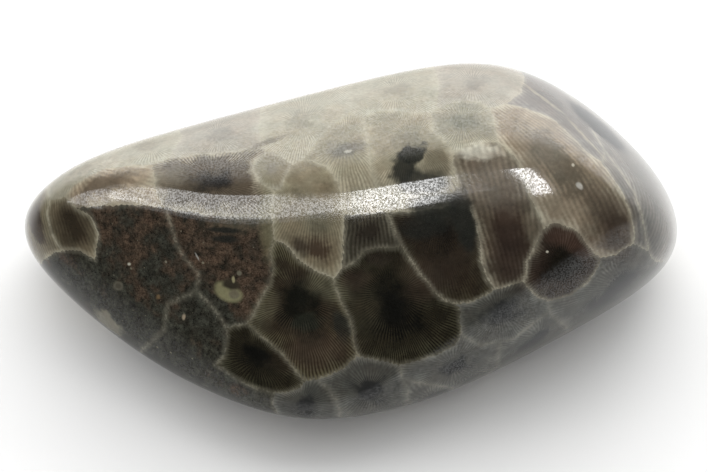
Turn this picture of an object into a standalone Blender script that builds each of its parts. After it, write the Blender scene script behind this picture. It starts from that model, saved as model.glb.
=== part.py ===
"""Fossil coral head: a loose, polished stone cut from a colonial coral.

The stone is one solid. Its form is a soft blend of broad ground faces,
each given by the way it looks and how far it lies from the stone's
middle, and it rests on a small flat ground on its underside.

Frame: metres, +Z up, +X along the stone's length, origin at the bottom
centre of its bounding box.
"""

import math
from typing import NamedTuple

import bmesh
import bpy
from mathutils import Matrix, Vector

OBJECT_NAME = "fossil_coral_head"
NODE_NAME = "coral_head"

MM = 0.001

# The middle of the stone, from which every face's distance is measured.
MIDDLE_HEIGHT = 17.5 * MM

# Higher values give tighter edges between neighbouring faces.
EDGE_TIGHTNESS = 10.0

# Half lengths of the rough blank, which only spread the mesh evenly.
BLANK_HALF_LENGTH = 43.0 * MM
BLANK_HALF_DEPTH = 26.0 * MM
BLANK_HALF_HEIGHT = 19.0 * MM

# Cuts along each edge of the blank's six sides.
BLANK_CUTS = 23

STONE_COLOUR = (0.13, 0.11, 0.09, 1.0)
STONE_ROUGHNESS = 0.18


class Face(NamedTuple):
    """One broad ground face of the stone.

    Attributes:
        azimuth: Way the face looks, in degrees from +X towards +Y.
        elevation: Degrees above the horizontal.
        distance: Metres from the stone's middle.
    """

    azimuth: float
    elevation: float
    distance: float

    def normal(self) -> Vector:
        """Return the face's outward normal."""
        azimuth = math.radians(self.azimuth)
        elevation = math.radians(self.elevation)
        level = math.cos(elevation)
        return Vector((
            level * math.cos(azimuth),
            level * math.sin(azimuth),
            math.sin(elevation),
        ))


STONE_FACES = {
    "top": Face(152.9, 82.0, 16.69 * MM),
    "top_left": Face(110.9, 41.7, 20.32 * MM),
    "top_back": Face(72.2, 54.0, 27.46 * MM),
    "top_right": Face(37.8, 31.0, 36.65 * MM),
    "right_shoulder": Face(24.1, 51.2, 30.55 * MM),
    "front": Face(-88.0, 36.0, 15.99 * MM),
    "front_left": Face(-121.7, 23.0, 22.07 * MM),
    "front_right": Face(-66.9, 6.4, 22.53 * MM),
    "under_right": Face(-54.5, -32.1, 25.36 * MM),
    "under_front": Face(-98.5, -61.6, 21.45 * MM),
    "under_left": Face(-135.2, -30.9, 31.0 * MM),
    "base_left": Face(180.0, -84.0, 18.8 * MM),
    "base_right": Face(0.0, -84.0, 19.1 * MM),
    "back": Face(95.0, 10.0, 26.0 * MM),
    "under_back": Face(90.0, -45.0, 24.0 * MM),
    "right_end": Face(-7.3, 4.0, 43.73 * MM),
    "left_end": Face(-176.9, 4.5, 55.06 * MM),
    "left_top": Face(155.8, 30.7, 37.88 * MM),
    "left_under": Face(-153.9, -18.7, 42.18 * MM),
}


def clear_scene() -> None:
    """Remove every object already in the scene."""
    for existing in list(bpy.data.objects):
        bpy.data.objects.remove(existing, do_unlink=True)


def reach(direction: Vector) -> float:
    """Return how far the surface lies from the stone's middle.

    Args:
        direction: Unit vector out of the middle.

    Returns:
        The distance along it, in metres, at which the blend of all
        faces is crossed.
    """
    total = 0.0
    for face in STONE_FACES.values():
        share = direction.dot(face.normal()) / face.distance
        if share > 0.0:
            total += share ** EDGE_TIGHTNESS
    return total ** (-1.0 / EDGE_TIGHTNESS)


def make_blank() -> bmesh.types.BMesh:
    """Return a cube cut into an even grid of faces on its six sides."""
    blank = bmesh.new()
    bmesh.ops.create_cube(blank, size=2.0)
    bmesh.ops.subdivide_edges(
        blank,
        edges=blank.edges[:],
        cuts=BLANK_CUTS,
        use_grid_fill=True,
    )
    return blank


def grind_to_shape(blank: bmesh.types.BMesh) -> None:
    """Move each point of the blank out to the stone's surface."""
    for vert in blank.verts:
        # A tangent spacing keeps the faces near the corners as wide as
        # those in the middle of each side.
        spread = [math.tan(value * math.pi / 4.0) for value in vert.co]
        direction = Vector((
            spread[0] * BLANK_HALF_LENGTH,
            spread[1] * BLANK_HALF_DEPTH,
            spread[2] * BLANK_HALF_HEIGHT,
        )).normalized()
        vert.co = direction * reach(direction)
        vert.co.z += MIDDLE_HEIGHT


def grind_base(stone: bmesh.types.BMesh) -> None:
    """Press what would sink below the table into one flat face."""
    for vert in stone.verts:
        vert.co.z = max(vert.co.z, 0.0)


def centre_over_origin(stone: bmesh.types.BMesh) -> None:
    """Put the bottom centre of the bounding box at the origin."""
    across = [vert.co.x for vert in stone.verts]
    along = [vert.co.y for vert in stone.verts]
    shift = Vector((
        -(min(across) + max(across)) / 2.0,
        -(min(along) + max(along)) / 2.0,
        0.0,
    ))
    bmesh.ops.transform(
        stone,
        matrix=Matrix.Translation(shift),
        verts=stone.verts[:],
    )


def make_material() -> bpy.types.Material:
    """Return the polished limestone's material."""
    material = bpy.data.materials.new("polished_coral_limestone")
    material.use_nodes = True
    shader = material.node_tree.nodes["Principled BSDF"]
    shader.inputs["Base Color"].default_value = STONE_COLOUR
    shader.inputs["Roughness"].default_value = STONE_ROUGHNESS
    shader.inputs["Metallic"].default_value = 0.0
    return material


def build_stone(collection: bpy.types.Collection) -> bpy.types.Object:
    """Make the stone and link it to a collection.

    Args:
        collection: Where the finished object goes.

    Returns:
        The stone.
    """
    stone = make_blank()
    grind_to_shape(stone)
    grind_base(stone)
    centre_over_origin(stone)
    bmesh.ops.recalc_face_normals(stone, faces=stone.faces[:])

    mesh = bpy.data.meshes.new(NODE_NAME)
    stone.to_mesh(mesh)
    stone.free()
    mesh.shade_smooth()
    mesh.materials.append(make_material())

    body = bpy.data.objects.new(NODE_NAME, mesh)
    collection.objects.link(body)
    return body


def main() -> None:
    """Build the fossil coral head."""
    clear_scene()
    collection = bpy.data.collections.new(OBJECT_NAME)
    bpy.context.scene.collection.children.link(collection)
    build_stone(collection)


if __name__ == "__main__":
    main()
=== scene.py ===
"""Looks of the fossil coral head: one palm-sized beach stone, tumbled and polished.

The stone is a single closed mesh over the same worn faces as the solid.  Its coral pattern is
laid out here as corallites, each with a middle, a stretch and a filling; every mesh corner
carries its place in the three nearest ones, and the material draws walls and septa from that.
"""

import logging
import math
import random
from dataclasses import dataclass, field
from enum import Enum
from typing import NamedTuple, Optional, Union

import bmesh
import bpy
import numpy as np
from mathutils import Matrix, Quaternion, Vector


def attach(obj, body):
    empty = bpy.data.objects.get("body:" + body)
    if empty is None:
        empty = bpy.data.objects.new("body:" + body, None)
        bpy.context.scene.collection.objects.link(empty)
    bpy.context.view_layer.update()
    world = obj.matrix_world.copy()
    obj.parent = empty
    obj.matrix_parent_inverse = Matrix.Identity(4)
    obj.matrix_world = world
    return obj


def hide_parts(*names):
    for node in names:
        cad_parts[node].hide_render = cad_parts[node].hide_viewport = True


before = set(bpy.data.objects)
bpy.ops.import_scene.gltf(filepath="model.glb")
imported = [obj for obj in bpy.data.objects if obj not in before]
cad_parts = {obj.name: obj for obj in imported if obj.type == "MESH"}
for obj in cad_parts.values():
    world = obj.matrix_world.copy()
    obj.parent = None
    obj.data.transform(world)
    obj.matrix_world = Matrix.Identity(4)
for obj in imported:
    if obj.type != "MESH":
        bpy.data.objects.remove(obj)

LOG = logging.getLogger("coral_head")

MM = 0.001

# What a length in mm, and a square of one, count as at least where they divide.
LEAST_LENGTH = 0.001
LEAST_SQUARE = 1e-9

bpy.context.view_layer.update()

VIEW_WIDTH = 708
VIEW_HEIGHT = 472

# The corallites that every corner of the stone's mesh knows, counted from the nearest.
RANKS = (1, 2, 3)

Colour = tuple[float, float, float]
Pixel = tuple[float, float]
Shade = tuple[float, float, float, float]
Number = Union[float, bpy.types.NodeSocket]


# ---------------------------------------------------------------- shared helpers


def heading(azimuth: float, elevation: float) -> Vector:
    """The direction of an azimuth and an elevation.

    Args:
        azimuth: degrees round from the stone's right, counter-clockwise seen from above.
        elevation: degrees above the table.

    Returns:
        The unit vector.
    """
    turn, rise = math.radians(azimuth), math.radians(elevation)
    return Vector((
        math.cos(rise) * math.cos(turn),
        math.cos(rise) * math.sin(turn),
        math.sin(rise),
    ))


def turned(wide: np.ndarray, tall: np.ndarray, turn: float) -> tuple[np.ndarray, np.ndarray]:
    """Turns a width and a height in their own plane.

    Args:
        wide: the width's direction.
        tall: the height's direction.
        turn: degrees that they are turned from the width towards the height.

    Returns:
        The turned directions.
    """
    angle = math.radians(turn)
    return (
        math.cos(angle) * wide + math.sin(angle) * tall,
        math.cos(angle) * tall - math.sin(angle) * wide,
    )


def placed(name: str, data: bpy.types.ID) -> bpy.types.Object:
    """Puts a mesh, a lamp or a camera in the scene.

    Args:
        name: of the object.
        data: what it holds.

    Returns:
        The object.
    """
    thing = bpy.data.objects.new(name, data)
    bpy.context.scene.collection.objects.link(thing)
    return thing


def meshed(name: str, cutter: bmesh.types.BMesh) -> bpy.types.Mesh:
    """Makes a mesh of a worked shape, and frees the shape.

    Args:
        name: of the mesh.
        cutter: the shape.

    Returns:
        The mesh.
    """
    mesh = bpy.data.meshes.new(name)
    cutter.to_mesh(mesh)
    cutter.free()
    return mesh


# ---------------------------------------------------------------- the worn form


class Face(NamedTuple):
    """One worn face of the stone: which way it looks, in degrees, and how far out, in mm."""

    azimuth: float
    elevation: float
    distance: float


STONE_FACES = {
    "top": Face(152.9, 82.0, 16.69),
    "top_left": Face(110.9, 41.7, 20.32),
    "top_back": Face(72.2, 54.0, 27.46),
    "top_right": Face(37.8, 31.0, 36.65),
    "right_shoulder": Face(24.1, 51.2, 30.55),
    "front": Face(-88.0, 36.0, 15.99),
    "front_left": Face(-121.7, 23.0, 22.07),
    "front_right": Face(-66.9, 6.4, 22.53),
    "under_right": Face(-54.5, -32.1, 25.36),
    "under_front": Face(-98.5, -61.6, 21.45),
    "under_left": Face(-135.2, -30.9, 31.0),
    "base_left": Face(180.0, -84.0, 18.8),
    "base_right": Face(0.0, -84.0, 19.1),
    "back": Face(95.0, 10.0, 26.0),
    "under_back": Face(90.0, -45.0, 24.0),
    "right_end": Face(-7.3, 4.0, 43.73),
    "left_end": Face(-176.9, 4.5, 55.06),
    "left_top": Face(155.8, 30.7, 37.88),
    "left_under": Face(-153.9, -18.7, 42.18),
}


@dataclass(frozen=True)
class StoneForm:
    """The rounded blend of the worn faces, measured in mm about the stone's middle.

    Attributes:
        edge_tightness: how tightly neighbouring faces meet; higher is sharper.
        middle_height: height of the stone's middle over the table.
        box_shift: from the stone's middle to the middle of its box, across and along.
        search_depth: mm before and behind the middle in which a ray is followed.
        search_step: mm between the places that are tried on it.
        halvings: how many times the step that meets the surface is halved.
    """

    edge_tightness: float = 10.0
    middle_height: float = 17.5
    box_shift: tuple[float, float] = (0.39, -1.85)
    search_depth: float = 60.0
    search_step: float = 0.5
    halvings: int = 24

    def looks(self) -> np.ndarray:
        """The directions of all faces, a row each."""
        return np.array([tuple(heading(f.azimuth, f.elevation)) for f in STONE_FACES.values()])

    def distances(self) -> np.ndarray:
        """How far out each face lies."""
        return np.array([f.distance for f in STONE_FACES.values()])

    def fullness(self, points: np.ndarray) -> np.ndarray:
        """Says how far out points lie, 1 being on the surface.

        Args:
            points: positions about the stone's middle, a row each.

        Returns:
            One value for each point.
        """
        out = np.maximum(points @ self.looks().T, 0.0) / self.distances()
        return (out ** self.edge_tightness).sum(-1) ** (1.0 / self.edge_tightness)

    def normals(self, points: np.ndarray) -> np.ndarray:
        """The outward directions of the surface at points on it.

        Args:
            points: positions about the stone's middle, a row each.

        Returns:
            A unit vector for each point.
        """
        out = np.maximum(points @ self.looks().T, 0.0) / self.distances()
        slope = (out ** (self.edge_tightness - 1.0) / self.distances()) @ self.looks()
        return slope / np.linalg.norm(slope, axis=-1, keepdims=True)

    def meet(self, origin: np.ndarray, ray: np.ndarray) -> Optional[np.ndarray]:
        """Finds where a ray first meets the surface.

        Args:
            origin: where the ray starts, about the stone's middle.
            ray: its unit direction.

        Returns:
            The point, or None where the ray misses.
        """
        count = 2 * round(self.search_depth / self.search_step) + 1
        steps = np.linspace(-self.search_depth, self.search_depth, count)
        steps = float(np.linalg.norm(origin)) + steps
        inside = self.fullness(origin + steps[:, None] * ray) < 1.0
        if not inside.any():
            return None
        deep = steps[int(inside.argmax())]
        shallow = deep - self.search_step
        for _ in range(self.halvings):
            half = (deep + shallow) / 2
            if self.fullness((origin + half * ray)[None])[0] < 1.0:
                deep = half
            else:
                shallow = half
        return origin + deep * ray


# ---------------------------------------------------------------- the viewpoint


@dataclass(frozen=True)
class Viewpoint:
    """Where the stone is looked at from.

    Attributes:
        elevation: of the eye over the table, in degrees.
        distance: from the eye to the stone's middle, in mm.
        focal: the focal length, in pixels of the view.
        sensor: width of the camera's sensor, in mm.
        clip: the nearest and the farthest thing that the camera sees, in m.
    """

    elevation: float = 45.0
    distance: float = 400.0
    focal: float = 3000.0
    sensor: float = 36.0
    clip: tuple[float, float] = (0.01, 50.0)

    def right(self) -> np.ndarray:
        """The direction that points right in the view."""
        return np.array((1.0, 0.0, 0.0))

    def up(self) -> np.ndarray:
        """The direction that points up in the view."""
        rise = math.radians(self.elevation)
        return np.array((0.0, math.sin(rise), math.cos(rise)))

    def back(self) -> np.ndarray:
        """The direction from the stone to the eye."""
        rise = math.radians(self.elevation)
        return np.array((0.0, -math.cos(rise), math.sin(rise)))

    def ray(self, across: float, down: float) -> tuple[np.ndarray, np.ndarray]:
        """The ray through a pixel, about the stone's middle.

        Args:
            across: pixels from the left edge.
            down: pixels from the top edge.

        Returns:
            Its origin in mm and its unit direction.
        """
        aim = (
            (across - VIEW_WIDTH / 2) * self.right()
            - (down - VIEW_HEIGHT / 2) * self.up()
            - self.focal * self.back()
        )
        return self.back() * self.distance, aim / np.linalg.norm(aim)

    def pixels(self, points: np.ndarray) -> np.ndarray:
        """Where points show in the view.

        Args:
            points: positions about the stone's middle, a row each.

        Returns:
            Their columns and rows in pixels.
        """
        depth = self.distance - points @ self.back()
        across = VIEW_WIDTH / 2 + self.focal * (points @ self.right()) / depth
        down = VIEW_HEIGHT / 2 - self.focal * (points @ self.up()) / depth
        return np.column_stack((across, down))

    def place(self, form: StoneForm) -> None:
        """Makes the camera and makes it the scene's own.

        Args:
            form: the stone, whose middle the camera looks at.
        """
        lens = bpy.data.cameras.new("studio_camera")
        lens.sensor_fit = "HORIZONTAL"
        lens.sensor_width = self.sensor
        lens.lens = self.sensor * self.focal / VIEW_WIDTH
        lens.clip_start, lens.clip_end = self.clip
        camera = placed("studio_camera", lens)
        middle = Vector((*form.box_shift, form.middle_height))
        camera.location = (middle + Vector(self.back()) * self.distance) * MM
        camera.rotation_euler = (math.radians(90.0 - self.elevation), 0.0, 0.0)
        bpy.context.scene.camera = camera


# ---------------------------------------------------------------- fillings of the corallites


@dataclass(frozen=True)
class Filling:
    """The tones of a corallite, from its middle out, as linear colour.

    Attributes:
        core: the middle.
        flesh: between the middle and the rim.
        rim: beside the wall.
        reach: how far out the core goes, 0 to 1.
        comb: how strongly the septa show, 1 being plain.
        wall: how pale the wall line is, 0 to 1.
    """

    core: Colour
    flesh: Colour
    rim: Colour
    reach: float
    comb: float
    wall: float


class Fill(Enum):
    """The fillings that the stone shows."""

    PALE = Filling(
        (0.201, 0.187, 0.137), (0.273, 0.257, 0.195), (0.312, 0.297, 0.234),
        reach=0.3, comb=0.65, wall=0.35,
    )
    ROSE = Filling(
        (0.179, 0.164, 0.132), (0.248, 0.229, 0.185), (0.289, 0.27, 0.22),
        reach=0.3, comb=0.6, wall=0.35,
    )
    LILAC = Filling(
        (0.11, 0.102, 0.093), (0.131, 0.12, 0.108), (0.18, 0.171, 0.155),
        reach=0.35, comb=0.35, wall=0.5,
    )
    ASH = Filling(
        (0.097, 0.092, 0.082), (0.13, 0.122, 0.108), (0.194, 0.186, 0.164),
        reach=0.35, comb=0.45, wall=0.6,
    )
    MOSS = Filling(
        (0.133, 0.131, 0.095), (0.194, 0.184, 0.136), (0.267, 0.253, 0.194),
        reach=0.35, comb=0.6, wall=0.6,
    )
    STRAW = Filling(
        (0.149, 0.14, 0.101), (0.216, 0.196, 0.14), (0.283, 0.262, 0.194),
        reach=0.3, comb=0.55, wall=0.6,
    )
    BUD = Filling(
        (0.169, 0.155, 0.121), (0.182, 0.165, 0.119), (0.243, 0.23, 0.182),
        reach=0.3, comb=0.25, wall=0.8,
    )
    BRONZE = Filling(
        (0.05, 0.036, 0.024), (0.15, 0.128, 0.085), (0.21, 0.19, 0.13),
        reach=0.45, comb=0.45, wall=0.8,
    )
    TAWNY = Filling(
        (0.15, 0.117, 0.083), (0.255, 0.21, 0.15), (0.33, 0.292, 0.217),
        reach=0.5, comb=0.35, wall=0.6,
    )
    INK = Filling(
        (0.014, 0.013, 0.012), (0.068, 0.055, 0.039), (0.223, 0.201, 0.152),
        reach=0.32, comb=0.8, wall=0.6,
    )
    UMBER = Filling(
        (0.038, 0.026, 0.019), (0.068, 0.054, 0.038), (0.17, 0.153, 0.115),
        reach=0.45, comb=0.45, wall=0.8,
    )
    TAN = Filling(
        (0.121, 0.105, 0.078), (0.216, 0.178, 0.127), (0.324, 0.297, 0.23),
        reach=0.4, comb=0.42, wall=0.9,
    )
    COMB = Filling(
        (0.022, 0.018, 0.013), (0.04, 0.036, 0.026), (0.075, 0.069, 0.05),
        reach=0.45, comb=0.75, wall=0.42,
    )
    SOOT = Filling(
        (0.007, 0.006, 0.005), (0.02, 0.015, 0.01), (0.037, 0.032, 0.02),
        reach=0.4, comb=0.6, wall=0.65,
    )
    COAL = Filling(
        (0.005, 0.005, 0.004), (0.015, 0.013, 0.008), (0.03, 0.028, 0.017),
        reach=0.45, comb=1.3, wall=0.38,
    )
    OLIVE = Filling(
        (0.007, 0.007, 0.005), (0.026, 0.02, 0.013), (0.058, 0.052, 0.03),
        reach=0.45, comb=1.3, wall=0.5,
    )
    # Dark slate coral of the underside band and the foot, paled to a neutral grey as a painted
    # reflection of the pale table.
    SLATE_WITH_PAINTED_SHEEN = Filling(
        (0.021, 0.022, 0.022), (0.059, 0.059, 0.052), (0.097, 0.098, 0.088),
        reach=0.4, comb=0.6, wall=0.25,
    )
    RUST = Filling(
        (0.007, 0.006, 0.004), (0.026, 0.019, 0.014), (0.065, 0.057, 0.043),
        reach=0.5, comb=0.8, wall=0.7,
    )
    MUD = Filling(
        (0.019, 0.015, 0.011), (0.022, 0.018, 0.013), (0.031, 0.026, 0.019),
        reach=0.3, comb=0.1, wall=0.4,
    )

    def index(self) -> float:
        """The filling's place on the ramps, 0 to 1."""
        return (list(Fill).index(self) + 0.5) / len(Fill)


# What the corallites of the hidden sides are filled with, the commoner ones twice.
HIDDEN_FILLS = (
    Fill.PALE, Fill.STRAW, Fill.ROSE, Fill.MOSS, Fill.INK, Fill.BRONZE,
    Fill.UMBER, Fill.OLIVE, Fill.COMB, Fill.STRAW, Fill.MOSS, Fill.INK,
)


@dataclass(frozen=True)
class Corallite:
    """One coral cup as it shows on the stone.

    Attributes:
        fill: its filling.
        core: pixel column and row of the middle of its core.
        outline: the pixel corners of its wall, clockwise.
        septa: how many lines a full round of it would have.
        wide: how far the core spreads along its own width, 1 being plain.
        tall: the same along its height.
        turn: degrees that its width is turned from the view's right, counter-clockwise.
        origin: where its septa meet, in mm along its width and height from the core.
    """

    fill: Fill
    core: Pixel
    outline: tuple[Pixel, ...]
    septa: int = 54
    wide: float = 1.0
    tall: float = 1.0
    turn: float = 0.0
    origin: tuple[float, float] = (0.0, 0.0)


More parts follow.
